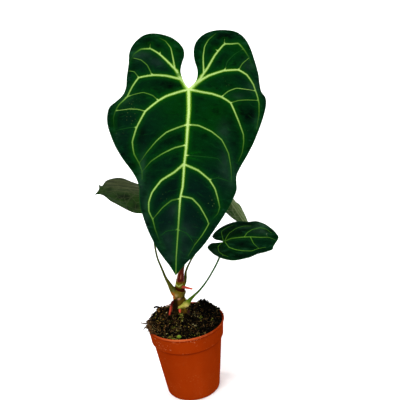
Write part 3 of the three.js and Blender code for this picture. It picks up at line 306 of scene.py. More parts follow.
LEFT_LEAF = {
    "attachment": (-20, 40, 268.4), "tip": (-103.3, 52, 276.3), "faces": (0, 0.95, -0.31),
    "thickness": 0.9, "quilt": 1, "quilt_reach": 4, "rib_top": 0.2, "rib_under": 0.7,
    "swells": (
        (21, 60, 6, -1.4), (-18, 32, 7, 1.4),
    ),
    "right": (
        (0, 0), (3, -6), (7, -12), (13, -14), (19, -9), (22, 0), (22, 13), (20, 26), (21, 37),
        (23, 46), (23, 54), (21, 63), (18, 69), (12, 74), (13, 78), (8, 78), (5, 80), (0, 85),
    ),
    "left": (
        (0, 0), (-3, -6), (-8, -13), (-14, -14), (-20, -7), (-22, 5), (-21, 19), (-20, 34),
        (-18, 46), (-15, 57), (-11, 65), (-4, 70), (0, 74), (1, 79), (0, 85),
    ),
    "veins": (
        (1.2, 0.6, (0, 0), (1, 12), (2, 25), (5, 41), (7, 55), (5, 67), (2, 79)),
        (0.8, 0.5, (1, -1), (8, -6), (14, -5), (17, 3), (17, 13)),
        (0.9, 0.5, (1, 2), (9, 10), (13, 22), (15, 35), (17, 48), (16, 60)),
        (0.7, 0.5, (3, 28), (9, 38), (12, 50), (12, 62), (8, 71)),
        (0.8, 0.5, (-1, -1), (-8, -6), (-14, -5), (-17, 4), (-17, 12)),
        (0.9, 0.5, (0, 2), (-9, 9), (-14, 20), (-15, 32), (-12, 44)),
        (0.8, 0.5, (3, 28), (-4, 36), (-9, 46), (-8, 56), (-3, 66)),
    ),
    "zones": {
        "tone": ((17, 10, 12, 40, 1.2), (18, 50, 9, 26, 1.1)),
        "dark": ((-2, 42, 4, 8, 1.2), (-3, 52, 3, 6, 0.6), (-12, 28, 5, 6, 0.6)),
    },
}
REAR_LEAF = {
    "attachment": (71.3, 46, 261.5), "tip": (107, 60, 186.7), "faces": (-0.04, 0.92, -0.4),
    "thickness": 1.1, "quilt": 0.8, "quilt_reach": 4, "rib_top": 0.2, "rib_under": 0.6,
    "swells": (
        (12, 26, 6, 1.4), (-9, 40, 6, -1.2),
    ),
    "right": (
        (0, 0), (3, -6), (7, -11), (12, -11), (16, -4), (17, 7), (15, 20), (12, 33), (10, 42),
        (7, 51), (5, 61), (3, 72), (0, 84),
    ),
    "left": (
        (0, 0), (-3, -6), (-7, -11), (-11, -10), (-13, -3), (-12, 8), (-9, 18), (-8, 25),
        (-10, 34), (-9, 44), (-8, 53), (-6, 61), (-3, 72), (0, 84),
    ),
    "veins": (
        (1.2, 0.6, (0, 0), (0, 28), (0, 56), (0, 80)),
        (0.8, 0.5, (1, -1), (6, -5), (11, -4), (13, 5)),
        (0.9, 0.5, (1, 2), (7, 9), (10, 21), (8, 34), (5, 50)),
        (0.7, 0.5, (0, 24), (4, 32), (5, 44), (3, 60)),
        (0.8, 0.5, (-1, -1), (-6, -5), (-10, -3), (-9, 8)),
        (0.9, 0.5, (-1, 2), (-5, 12), (-5, 24), (-6, 38), (-4, 54)),
    ),
    "zones": {
        "tone": ((-7, 30, 8, 80, 1.5),),
    },
}


def smoothstep(x, low, high):
    t = np.clip((np.asarray(x, float) - low) / (high - low), 0, 1)
    return t * t * (3 - 2 * t)


def polar(reach, angle):
    return reach * math.cos(angle), reach * math.sin(angle)


def spot(a, b, middle_a, middle_b, reach_a, reach_b):
    """A soft oval spot: 1 in its middle, 0 far away."""
    return np.exp(-((a - middle_a) / reach_a) ** 2 - ((b - middle_b) / reach_b) ** 2)


def catmull_rom(points, per_span):
    """Points along the centripetal curve through the given points."""
    p = np.asarray(points, float)
    p = np.vstack([2 * p[0] - p[1], p, 2 * p[-1] - p[-2]])
    out = []
    for i in range(1, len(p) - 2):
        p0, p1, p2, p3 = p[i - 1:i + 3]
        d0, d1, d2 = (np.sum((b - a) ** 2) ** 0.25 for a, b in ((p0, p1), (p1, p2), (p2, p3)))
        t1 = ((p1 - p0) / d0 - (p2 - p0) / (d0 + d1) + (p2 - p1) / d1) * d1
        t2 = ((p2 - p1) / d1 - (p3 - p1) / (d1 + d2) + (p3 - p2) / d2) * d1
        for w in np.arange(per_span) / per_span:
            bend = (-3 * p1 + 3 * p2 - 2 * t1 - t2) * w ** 2 + (2 * p1 - 2 * p2 + t1 + t2) * w ** 3
            out.append(p1 + t1 * w + bend)
    return np.array(out + [p[-2]])


def spaced(points, step, straight=0.0):
    """Points at equal steps along a curve through the given points, partly straightened."""
    fine = catmull_rom(points, 24)
    at = np.linspace(0, len(points) - 1, len(fine))
    corners = np.array(points, float)
    chords = np.stack([np.interp(at, np.arange(len(points)), corners[:, k]) for k in (0, 1)], 1)
    fine = fine * (1 - straight) + chords * straight
    length = np.append(0, np.cumsum(np.linalg.norm(np.diff(fine, axis=0), axis=1)))
    at = np.linspace(0, length[-1], max(2, round(length[-1] / step)) + 1)
    return np.stack([np.interp(at, length, fine[:, k]) for k in (0, 1)], 1)


def nearest_on_line(points, line):
    """Distance of each point to a line, and where along it the nearest place is."""
    start, span = line[:-1], np.diff(line, axis=0)
    squared = np.maximum((span * span).sum(1), 1e-9)
    gaps, places = [], []
    for first in range(0, len(points), BATCH):
        beyond = points[first:first + BATCH, None] - start
        t = np.clip((beyond * span).sum(2) / squared, 0, 1)
        gap = np.linalg.norm(beyond - t[..., None] * span, axis=2)
        best = np.arange(len(gap)), gap.argmin(1)
        gaps.append(gap[best])
        places.append((best[1] + t[best]) / len(start))
    return np.concatenate(gaps), np.concatenate(places)


def inside(points, polygon):
    """Which points lie inside a polygon."""
    u, v = points.T
    result = np.zeros(len(points), bool)
    for (ui, vi), (uj, vj) in zip(polygon, np.roll(polygon, 1, axis=0)):
        if vi != vj:
            result ^= ((vi > v) != (vj > v)) & (u < (uj - ui) * (v - vi) / (vj - vi) + ui)
    return result


def new_mesh(name, vertices, faces):
    mesh = bpy.data.meshes.new(name)
    mesh.from_pydata([tuple(p) for p in vertices], [], [tuple(f) for f in faces])
    return mesh


def new_object(name, data):
    result = bpy.data.objects.new(name, data)
    bpy.context.scene.collection.objects.link(result)
    return result


def discard(helper):
    mesh = helper.data
    bpy.data.objects.remove(helper)
    bpy.data.meshes.remove(mesh)


def make_piece(name, vertices, faces, materials, slot, replaced=(), picks=None, smooth=True):
    """A piece of the part from vertices in millimetres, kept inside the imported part's box."""
    mesh = new_mesh(name, np.clip(np.asarray(vertices) * MM, *cad_bounds), faces)
    for material in materials:
        mesh.materials.append(material)
    if picks is not None:
        mesh.polygons.foreach_set("material_index", np.asarray(picks, np.int32))
    mesh.polygons.foreach_set("use_smooth", [smooth] * len(mesh.polygons))
    piece = new_object(name, mesh)
    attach(piece, "root")
    if replaced:
        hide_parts(*replaced)
    return piece


def tinted(name, skin, colours, material, slot, *replaced, smooth=True):
    """A piece of one material that takes its colours from the mesh."""
    piece = make_piece(name, *skin, [material], slot, replaced, smooth=smooth)
    store(piece.data, "tint", colours)


def store(mesh, name, values):
    """Numbers or colours for a mesh's vertices, for its material to read."""
    values = np.asarray(values, np.float32)
    if values.ndim == 1:
        mesh.attributes.new(name, "FLOAT", "POINT").data.foreach_set("value", values)
    else:
        values = np.hstack([values, np.ones((len(values), 1), np.float32)])
        mesh.attributes.new(name, "FLOAT_COLOR", "POINT").data.foreach_set("color", values.ravel())


def linear(colour):
    """Linear colour from one in 0 to 255 as a screen shows it."""
    c = np.asarray(colour, float) / 255
    return np.where(c <= 0.04045, c / 12.92, ((c + 0.055) / 1.055) ** 2.4)


def painted(colours, *layers):
    """Linear colours of vertices under layers of a colour and its amount.

    A colour is a tuple as a screen shows it, or an array that is linear already.
    """
    if isinstance(colours, tuple):
        colours = linear(colours)
    for colour, amount in layers:
        amount = np.clip(np.asarray(amount, float), 0, 1)[:, None]
        over = linear(colour) if isinstance(colour, tuple) else colour
        colours = colours * (1 - amount) + over * amount
    return colours


def ramp(x, *stops):
    """Linear colours along stops of (x, colour)."""
    at = [place for place, _ in stops]
    colours = np.array([linear(colour) for _, colour in stops])
    return np.stack([np.interp(x, at, colours[:, k]) for k in range(3)], 1)


def grain(points, size, seed=0.0):
    """Smooth noise from about -1 to 1 at each point, with lumps of the given size."""
    return np.array([noise.noise((x / size + seed, y / size, z / size)) for x, y, z in points])


class Value:
    """What a node gives out, for sums with numbers and other values."""

    def __init__(self, look, socket):
        self.look, self.socket = look, socket

    def __add__(self, other):
        return self.look.math("ADD", self, other)

    def __sub__(self, other):
        return self.look.math("SUBTRACT", self, other)

    def __mul__(self, other):
        return self.look.math("MULTIPLY", self, other)

    def __pow__(self, power):
        return self.look.math("POWER", self, power)

    def __abs__(self):
        return self.look.math("ABSOLUTE", self)

    def span(self, low, high, to_low=0.0, to_high=1.0, smooth=False):
        """The value moved from one range to another and held inside it."""
        inputs = {
            "Value": self, "From Min": low, "From Max": high, "To Min": to_low, "To Max": to_high,
        }
        kind = "SMOOTHSTEP" if smooth else "LINEAR"
        return self.look.node("MapRange", inputs, "Result", interpolation_type=kind)


class Look:
    """A node material. Its coat is painted layer by layer in front of its shader."""

    def __init__(self, name, specular, palette=None):
        self.palette = palette
        self.material = bpy.data.materials.new(name)
        self.material.use_nodes = True
        self.nodes, self.links = self.material.node_tree.nodes, self.material.node_tree.links
        self.shader = self.nodes["Principled BSDF"]
        self.shader.inputs["Specular IOR Level"].default_value = specular

    def plug(self, socket, value):
        if isinstance(value, Value):
            self.links.new(value.socket, socket)
        else:
            socket.default_value = value

    def node(self, kind, inputs, output, **settings):
        node = self.nodes.new("ShaderNode" + kind)
        for key, value in settings.items():
            setattr(node, key, value)
        for key, value in inputs.items():
            self.plug(node.inputs[key], value)
        return Value(self, node.outputs[output])

    def place(self):
        return self.node("TexCoord", {}, "Object")

    def leaf_place(self):
        return self.node("UVMap", {}, "UV", uv_map="leaf")

    def stretched(self, place, scale):
        return self.node("Mapping", {"Vector": place, "Scale": scale}, "Vector")

    def value(self, name):
        return self.node("Attribute", {}, "Fac", attribute_name=name)

    def noise(self, place, scale, detail, roughness=0.55):
        inputs = {"Vector": place, "Scale": scale, "Detail": detail, "Roughness": roughness}
        return self.node("TexNoise", inputs, "Fac")

    def cells(self, place, scale, feature="F1"):
        inputs = {"Vector": place, "Scale": scale}
        return self.node("TexVoronoi", inputs, "Distance", feature=feature)

    def math(self, operation, a, b=0.0):
        return self.node("Math", {0: a, 1: b}, 0, operation=operation)

    def mix(self, factor, a, b, blend="MIX"):
        """Two colours mixed. A name stands for a colour of the palette."""
        a, b = (self.palette[c] if isinstance(c, str) else c for c in (a, b))
        a, b = (c if isinstance(c, Value) else (*linear(c), 1.0) for c in (a, b))
        return self.node("Mix", {0: factor, 6: a, 7: b}, 2, data_type="RGBA", blend_type=blend)

    def paint(self, *layers):
        """Layers of a colour and its amount, over the coat."""
        for colour, amount in layers:
            self.coat = self.mix(amount, self.coat, colour)

    def take_tint(self, level):
        """The mesh's own colours as the coat, times a level."""
        grey = self.node("CombineColor", {0: level, 1: level, 2: level}, 0)
        tint = self.node("Attribute", {}, "Color", attribute_name="tint")
        self.coat = self.mix(1.0, tint, grey, "MULTIPLY")

    def finish(self, roughness, relief=None, strength=0, distance=0):
        """The material, with its relief as bumps of a distance in metres."""
        self.plug(self.shader.inputs["Base Color"], self.coat)
        self.plug(self.shader.inputs["Roughness"], roughness)
        if relief:
            inputs = {"Height": relief, "Strength": strength, "Distance": distance}
            self.plug(self.shader.inputs["Normal"], self.node("Bump", inputs, "Normal"))
        return self.material


# How each leaf plane is bent along its normal, and turned round its midrib
LEAF_FORMS = {
    "large": (lambda u, v: 0.9 - 0.0011 * u * u - 0.00025 * (v - 60) ** 2, None),
    "right": (lambda u, v: 0.9 - 0.004 * u * u - 0.0015 * (v - 25) ** 2, None),
    "left": (
        lambda u, v: 0.5 * (np.hypot(u - 6 * np.sin(np.pi * np.clip(v / 85, 0, 1)), 3) - 3),
        lambda v: np.radians(31 - 58 * smoothstep(v, 10, 75)),
    ),
    "rear": (
        lambda u, v: 1.1 * (np.hypot(u, 3) - 3),
        lambda v: np.radians(14 * smoothstep(v, 12, 34) - 14),
    ),
}


# How veins look by their half width at the start: the share of it that is drawn pale,
# how far they fade out at the end, how bright they start and how much of that they lose


def vein_share(start):
    return 1.04 if start > 2 else 0.96 if start > 1.5 else 0.8 if start > 1 else 0.76


def vein_fade(start):
    widths = (0.7, 0.75, 1.0, 1.1, 1.5, 1.6, 2.2)
    return float(np.interp(start, widths, (0.7, 0.1, 0.1, 0.8, 0.8, 1.0, 0.4)))


def large_glow(start):
    widths = (0.7, 0.8, 0.9, 1.1, 1.2, 1.3, 1.4, 1.6, 1.8, 2.4, 2.6)
    glows = (0.0, 0.2, 0.32, 0.16, 0.32, 0.42, 0.54, 0.6, 0.68, 0.84, 0.96)
    return float(np.interp(start, widths, glows))


def large_dimming(start, where):
    if start < 1.15:
        return 0.2 - 0.7 * where
    if start < 1.5:
        return 0.7 * smoothstep(where, 0.2, 1.0)
    if start < 2:
        return (0.97 if start < 1.75 else 0.8) * smoothstep(where, 0.36, 0.92)
    return 0.22 * smoothstep(where, 0.05, 0.35) + 0.46 * smoothstep(where, 0.56, 0.74)


def small_glow(start):
    return float(np.interp(start, (0.8, 0.9, 1.3), (0.3, 0.42, 0.6)))


def small_dimming(start, where):
    return 0.5 - 0.6 * where if start > 1 else 0.3 * smoothstep(where, 0.5, 1.0)


# For the small leaves and for the large one
VEIN_LIGHT = (small_glow, small_dimming), (large_glow, large_dimming)
ZONES = ("warm", "dark", "cool", "veil", "specks", "tone")
VEIN_STRAIGHTNESS = 0.7
# The flat mesh's grid: its seed, and its jitter and least distances to the margin and to a
# vein as shares of its step
GRID_SEED = 3
GRID_JITTER = 0.12
MARGIN_CLEARANCE = 0.55
VEIN_CLEARANCE = 0.5
MERGE_DISTANCE = 1e-4
RIDGE_WIDTH = 1.5
FAR_RATIO, FAR = 9.0, 99.0
UV_SIZE = 100


class Blade:
    """A leaf blade on its leaf plane: u across, v along the midrib to the tip."""

    def __init__(self, leaf, side, step):
        self.leaf, self.step = leaf, step
        self.form, self.twist = LEAF_FORMS[side]
        self.glow, self.dimming = VEIN_LIGHT[side == "large"]
        self.origin = np.array(leaf["attachment"], float)
        along = np.array(leaf["tip"], float) - self.origin
        self.along = along / np.linalg.norm(along)
        normal = np.array(leaf["faces"], float)
        normal -= self.along * (normal @ self.along)
        self.normal = normal / np.linalg.norm(normal)
        self.across = np.cross(self.normal, self.along)
        self.veins = [
            (start, end, spaced(points, step, VEIN_STRAIGHTNESS))
            for start, end, *points in leaf["veins"]
        ]
        right, left = (spaced(leaf[half], step) for half in ("right", "left"))
        self.outline = np.vstack([right, left[1:-1][::-1]])
        self.loop = np.vstack([self.outline, self.outline[:1]])

    def flat_mesh(self):
        """Points and triangles on the leaf plane, with an edge along every vein."""
        points = list(self.outline)
        edges = [(i, (i + 1) % len(points)) for i in range(len(points))]
        for _, _, line in self.veins:
            edges += [(i, i + 1) for i in range(len(points), len(points) + len(line) - 1)]
            points += list(line)
        low, high = self.outline.min(0), self.outline.max(0)
        rows = np.arange(low[1], high[1], self.step * math.sqrt(3) / 2)
        grid = np.array([
            (u + (row % 2) * self.step / 2, v)
            for row, v in enumerate(rows) for u in np.arange(low[0], high[0], self.step)
        ])
        rng = np.random.default_rng(GRID_SEED)
        grid += rng.uniform(-GRID_JITTER, GRID_JITTER, grid.shape) * self.step
        grid = grid[inside(grid, self.outline)]
        clear = nearest_on_line(grid, self.loop)[0] > MARGIN_CLEARANCE * self.step
        for _, _, line in self.veins:
            clear &= nearest_on_line(grid, line)[0] > VEIN_CLEARANCE * self.step
        points += list(grid[clear])
        points = [tuple(p) for p in points]
        result = delaunay_2d_cdt(points, edges, [], 0, MERGE_DISTANCE, False)
        flat = np.array([tuple(p) for p in result[0]])
        triangles = np.array([f for f in result[2] if len(f) == 3])
        triangles = triangles[inside(flat[triangles].mean(1), self.outline)]
        a, b, c = (flat[triangles[:, k]] for k in range(3))
        turns_left = np.cross(b - a, c - a) > 0
        triangles[turns_left] = triangles[turns_left][:, ::-1]
        return flat, triangles

    def fields(self, flat):
        """Distances to veins and margin, the veins' looks and relief, at flat points."""
        width = np.zeros(len(flat))
        ridge = np.zeros(len(flat))
        nearest = np.full(len(flat), FAR_RATIO)
        near = np.full(len(flat), FAR)
        ratios, fades, brights = [], [], []
        for start, end, line in self.veins:
            gap, where = nearest_on_line(flat, line)
            half = start + (end - start) * where
            slope = np.minimum(1, gap / (RIDGE_WIDTH * half))
            ridge = np.maximum(ridge, half * (1 - slope ** 2))
            drawn = half * (1.1 - 0.42 * where) * vein_share(start)
            # The two short thick veins at the stalk
            if start > 2.2 and end > 2:
                drawn = drawn * (1.5 + 0.4 * smoothstep(-where, -0.4, 0))
            ratio = gap / drawn
            width = np.where(ratio < nearest, half, width)
            nearest = np.minimum(nearest, ratio)
            near = np.minimum(near, gap)
            ratios.append(ratio)
            fades.append(1 - smoothstep(where, 0.66, 1.0) * vein_fade(start))
            brights.append(self.glow(start) * (1 - self.dimming(start, where)))
        ratios = np.array(ratios)
        pick = ratios.argmin(0), np.arange(len(flat))
        beside = smoothstep(-ratios, -2.4, -1.3)
        fade, bright = (
            np.maximum(values[pick], (values * beside).max(0))
            for values in (np.array(fades), np.array(brights))
        )
        self.edge, self.near, self.ridge = nearest_on_line(flat, self.loop)[0], near, ridge
        fields = {"ratio": nearest, "near": near, "width": width, "fade": fade, "bright": bright}
        fields.update(edge=self.edge, u=flat[:, 0], v=flat[:, 1])
        for zone in ZONES:
            fields[zone] = np.zeros(len(flat))
            for *place, amount in self.leaf["zones"].get(zone, ()):
                fields[zone] += amount * spot(flat[:, 0], flat[:, 1], *place)
        return fields

    def heights(self, flat):
        """Heights of the upper and the lower face over the leaf plane."""
        leaf = self.leaf
        u, v = flat.T
        margin = np.minimum(1, self.edge / leaf["quilt_reach"])
        puff = 1 - np.exp(-(self.near / leaf["quilt_reach"]) ** 2)
        middle = self.form(u, v) + leaf["quilt"] * margin * puff
        for swell_u, swell_v, radius, height in leaf["swells"]:
            away = (u - swell_u) ** 2 + (v - swell_v) ** 2
            middle += height * np.exp(-away / (2 * radius ** 2))
        half = leaf["thickness"] / 2 * (0.45 + 0.55 * smoothstep(self.edge, 0, 3))
        upper = middle + half + leaf["rib_top"] * self.ridge * margin
        lower = middle - half - leaf["rib_under"] * self.ridge * margin
        return upper, lower

    def placed(self, flat, height):
        """Points of the part from flat points and heights over the leaf plane."""
        u, v = flat[:, :1], flat[:, 1:]
        turn = self.twist(v) if self.twist else np.zeros_like(v)
        across, normal = (
            axis * np.cos(turn) + np.cross(self.along, axis) * np.sin(turn)
            for axis in (self.across, self.normal)
        )
        return self.origin + across * u + self.along * v + normal * height[:, None]

    def make(self, name, materials, slot):
        """The blade as a closed piece: upper face, lower face and a wall between them."""
        flat, triangles = self.flat_mesh()
        fields = self.fields(flat)
        vertices = np.vstack([self.placed(flat, height) for height in self.heights(flat)])
        count = len(flat)
        open_edges = {}
        for face in triangles.tolist():
            for edge in zip(face, face[1:] + face[:1]):
                if open_edges.pop(edge[::-1], None) is None:
                    open_edges[edge] = True
        wall = [(to, start, start + count, to + count) for start, to in open_edges]
        faces = triangles.tolist() + (triangles[:, ::-1] + count).tolist() + wall
        picks = [0] * len(triangles) + [1] * (len(faces) - len(triangles))
        piece = make_piece(name, vertices, faces, materials, slot, (name + "_blade",), picks)
        for field, values in fields.items():
            store(piece.data, field, np.tile(values, 2))
        corners = np.zeros(len(piece.data.loops), np.int32)
        piece.data.loops.foreach_get("vertex_index", corners)
        uv = (np.tile(flat, (2, 1))[corners] / UV_SIZE).astype(np.float32)
        piece.data.uv_layers.new(name="leaf").data.foreach_set("uv", uv.ravel())


def blade_upper(name, palette):
    """Velvety upper face: dark fields, green haloes, pale raised veins, painted sheen and shade."""
    look = Look(name, 0.01, palette)
    place = look.leaf_place()
    ratio, width, edge = (look.value(field) for field in ("ratio", "width", "edge"))
    broad = look.noise(place, 2.4, 3.0)
    mottle = look.noise(place, 11.0, 4.0)
    patch = look.noise(look.stretched(place, palette["patch_stretch"]), 7.0, 4.0, 0.62)
    # Fine veins across the fields, a net between them, folds along the margin with painted
    # highlights and painted shade, and specks
    sweep = look.value("v") - abs(look.value("u")) * 0.3 + broad * 26.0
    wave = look.math("SINE", sweep * (TURN / palette["cross_pitch"]))
    net = look.cells(look.stretched(place, (1, 1.35, 1)), 7.0, "DISTANCE_TO_EDGE")
    fold = look.noise(look.stretched(place, palette["fold_stretch"]), 6.5, 3.0, 0.6)
    near_edge = edge.span(2, palette["fold_reach"], 1, 0, True)
    strewn = look.noise(place, 3.1, 1.0).span(0.64, 0.72, 0, 0.2)
    strewn = look.math("MAXIMUM", look.value("specks"), strewn)
    halo = look.value("near").span(0, 10, 1, 0, True) ** 1.6
    look.coat = look.mix(broad.span(0.38, 0.62), "deep", "deep_green")
    look.paint(
        ("warm", look.value("warm").span(0, 1)),
        # Painted sheen in light patches, and painted shade between them
        ("patch", patch.span(0.54, 0.7, 0, 0.5)),
        ("shade", patch.span(0.34, 0.46, 0.55, 0)),
        ("cool", look.value("cool") * broad.span(0.3, 0.7, 0.6, 1.1)),
        ("shade", look.value("dark") * mottle.span(0.25, 0.6)),
        ("veil", look.value("veil") * mottle.span(0.3, 0.7, 0.35, 1)),
        ("net", wave.span(0.86, 1, 0, 1, True) * mottle.span(0.45, 0.7, 0, 0.4)),
        ("net", net.span(0, 0.03, 1, 0, True) * mottle.span(0.5, 0.75, 0, 0.22)),
        # Painted highlights and painted shade of the folds along the margin
        ("fold", fold.span(0.55, 0.68) * near_edge * 0.55),
        ("shade", fold.span(0.36, 0.46, 1, 0) * near_edge * 0.7),
        ("halo", halo * width.span(0.5, 2.4, 0.06, 0.8)),
        ("speck", look.cells(place, 30.0).span(0.1, 0.2, 1, 0) * strewn),
        ("rim", edge.span(0.3, 1.3, 0.6, 0)),
    )
    # Veins: a fringe with a ragged edge, and a paler core
    ragged = ratio + (look.noise(place, 70.0, 2.0) - 0.5) * 0.8
    fade = look.value("fade")
    bright = look.value("bright") * broad.span(0.3, 0.7, 0.9, 1.15)
    core = look.mix(bright.span(0, 0.3), "vein_dim", "vein_mid")
    look.paint(
        (look.mix(bright ** 0.6, "vein_edge_dim", "vein_edge"),
            ragged.span(0.6, 1.42, 1, 0, True) * fade),
        (look.mix(bright.span(0.22, 1), core, "vein"),
            ragged.span(0.25, 0.8, 1, 0, True) * fade),
    )
    relief = mottle + look.noise(place, 120.0, 2.0) * 0.12 + fold * 1.2
    return look.finish(ratio.span(0.4, 1.2, 0.5, 0.75), relief, 0.5, 0.0012)


def blade_under(name, pale, deep, rib, blotch, shade, stripe_pitch, striped=1.0):
    """Underside: paler, with raised ribs and fine lines along the midrib."""
    look = Look(name, 0.06)
    place = look.leaf_place()
    mottle = look.noise(place, 9.0, 4.0)
    side = look.value("tone").span(0, 1)
    across = look.value("u") + look.noise(place, 3.0, 2.0) * 9.0
    wave = look.math("SINE", across * (TURN / stripe_pitch))
    net = look.cells(place, 9.0, "DISTANCE_TO_EDGE").span(0, 0.05, 0.3, 0, True)
    look.coat = look.mix(side, deep, pale)
    look.paint(
        (blotch, wave.span(-1, -0.5, 0.5 * striped, 0) * side),
        (rib, wave.span(0.1, 1, 0, 0.4 * striped) * side.span(0, 1, 0.15, 1)),
        (blotch, mottle.span(0.5, 0.62, 0, 0.8) * side.span(0, 1, 1, 0.12)),
        (rib, look.value("ratio").span(0.5, 1.4, 0.7, 0, True) * side.span(0, 1, 0.3, 1)),
        (deep, look.value("edge").span(0.2, 1.2, 0.5, 0)),
        (shade, look.value("dark").span(0.1, 0.9, 0, 0.9)),
        (rib, net),
    )
    relief = wave * (0.25 * striped) + mottle - net
    return look.finish(mottle.span(0.3, 0.7, 0.42, 0.6), relief, 0.35, 0.001)


# Upper faces: patch and sheen colours are painted sheen, fold painted highlight, shade painted
# shade
LARGE_PALETTE = {
    "deep": (1, 28, 13), "deep_green": (1, 37, 9), "warm": (1, 46, 6), "cool": (4, 24, 20),
    "shade": (0, 8, 4), "veil": (42, 66, 56), "fold": (24, 62, 40), "net": (12, 62, 22),
    "patch": (4, 54, 20), "halo": (8, 80, 4), "speck": (96, 118, 58), "rim": (16, 70, 22),
    "vein_edge_dim": (10, 54, 14), "vein_edge": (100, 154, 28), "vein_dim": (24, 74, 26),
    "vein_mid": (84, 132, 52), "vein": (202, 232, 140),
    "cross_pitch": 13, "patch_stretch": (1, 1.9, 1), "fold_stretch": (1, 2.6, 1), "fold_reach": 17,
}
RIGHT_PALETTE = {
    "deep": (0, 24, 11), "deep_green": (1, 31, 9), "warm": (2, 36, 8), "cool": (4, 26, 18),
    "shade": (0, 7, 3), "veil": (50, 80, 58), "fold": (24, 60, 36), "net": (14, 54, 22),
    "patch": (12, 54, 28), "halo": (14, 66, 8), "speck": (140, 155, 112), "rim": (18, 62, 24),
    "vein_edge_dim": (12, 54, 8), "vein_edge": (46, 98, 12), "vein_dim": (26, 66, 14),
    "vein_mid": (60, 106, 26), "vein": (112, 156, 62),
    "cross_pitch": 9, "patch_stretch": (2.6, 1, 1), "fold_stretch": (2.6, 0.9, 1), "fold_reach": 60,
}
# Undersides: pale, deep, rib, blotch and shade colours, pitch of the stripes, their strength
UNDERSIDES = {
    "large": ((70, 92, 48), (48, 74, 30), (108, 126, 72), (52, 76, 34), (48, 74, 30), 9, 0.12),
    "left": ((58, 64, 42), (24, 51, 8), (72, 80, 50), (12, 30, 6), (8, 22, 4), 4.5),
    "rear": ((80, 98, 54), (24, 54, 12), (118, 130, 92), (52, 72, 34), (24, 44, 14), 4),
}
STEP_LARGE = 1.3
STEP_SMALL = 1.0


def make_blades():
    large = blade_upper("large_blade_upper", LARGE_PALETTE)
    small = blade_upper("right_blade_upper", RIGHT_PALETTE)
    under = {side: blade_under(side + "_blade_under", *look) for side, look in UNDERSIDES.items()}
    for side, leaf, step, upper, lower, slot in (
        ("large", LARGE_LEAF, STEP_LARGE, large, "large", "dark_blade"),
        ("right", RIGHT_LEAF, STEP_SMALL, small, "large", "dark_blade"),
        ("left", LEFT_LEAF, STEP_SMALL, small, "left", "pale_blade"),
        ("rear", REAR_LEAF, STEP_SMALL, small, "rear", "pale_blade"),
    ):
        Blade(leaf, side, step).make(side + "_leaf", (upper, under[lower]), slot)


def rod(path, sides, per_span=8):
    """Vertices and faces of a round or oval rod along a smooth path."""
    centres = catmull_rom([p[:3] for p in path], per_span)
    at = np.linspace(0, len(path) - 1, len(centres))
    knots = np.arange(len(path))
    radius_x, radius_y = (
        np.interp(at, knots, [p[min(k, len(p) - 1)] for p in path])[:, None] for k in (3, 4)
    )
    tangents = np.gradient(centres, axis=0)
    tangents /= np.linalg.norm(tangents, axis=1)[:, None]
    side = np.cross((0, 1, 0), tangents)
    side /= np.linalg.norm(side, axis=1)[:, None]
    front = np.cross(tangents, side)
    angle = TURN * np.arange(sides) / sides
    ring = (
        side[:, None] * (radius_x * np.cos(angle))[..., None]
        + front[:, None] * (radius_y * np.sin(angle))[..., None]
    )
    vertices = (centres[:, None] + ring).reshape(-1, 3)
    faces = [tuple(range(sides))[::-1]]
    for i in range(len(centres) - 1):
        for k in range(sides):
            a, b = i * sides + k, i * sides + (k + 1) % sides
            faces.append((a, b, b + sides, a + sides))
    last = (len(centres) - 1) * sides
    faces.append(tuple(range(last, last + sides)))
    return vertices, faces


def joined(parts):
    faces, count = [], 0
    for vertices, part_faces in parts:
        faces += [tuple(i + count for i in face) for face in part_faces]
        count += len(vertices)
    return np.vstack([vertices for vertices, _ in parts]), faces


def mesh_parts(mesh):
    """Vertices in millimetres and faces of a mesh."""
    vertices = np.array([tuple(v.co) for v in mesh.vertices]) / MM
    return vertices, [tuple(p.vertices) for p in mesh.polygons]


def fused(node, rods, voxel, smoothing):
    """One smooth skin round a CAD node and rods that overlap it."""
    vertices, faces = joined([mesh_parts(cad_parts[node].data), *rods])
    rough = new_object("rough", new_mesh("rough", vertices * MM, faces))
    remesh = rough.modifiers.new("skin", "REMESH")
    remesh.mode = "VOXEL"
    remesh.voxel_size = voxel * MM
    smooth = rough.modifiers.new("smooth", "SMOOTH")
    smooth.iterations = smoothing
    smooth.factor = 0.5
    evaluated = rough.evaluated_get(bpy.context.evaluated_depsgraph_get())
    skin = mesh_parts(evaluated.to_mesh())
    evaluated.to_mesh_clear()
    discard(rough)
    return skin


def flesh(name, roughness, specular, mottle, bump):
    """Skin of stems, stalks and roots, tinted by the mesh's own colours."""
    look = Look(name, specular)
    place = look.place()
    lumps = look.noise(place, 420.0, 4.0)
    streaks = look.noise(look.stretched(place, (1, 1, 0.22)), 900.0, 3.0)
    shade = lumps * 0.6 + streaks * 0.4
    look.take_tint(shade.span(0.3, 0.7, 1 - mottle, 1 + mottle))
    return look.finish(lumps.span(0.3, 0.7, roughness - 0.08, roughness + 0.08), shade, 0.4, bump)


def columns_at(path, z, *columns):
    """Columns of a rod's path at the heights of its vertices."""
    heights = [p[2] for p in path]
    return np.stack([np.interp(z, heights, [p[k] for p in path]) for k in columns], 1)


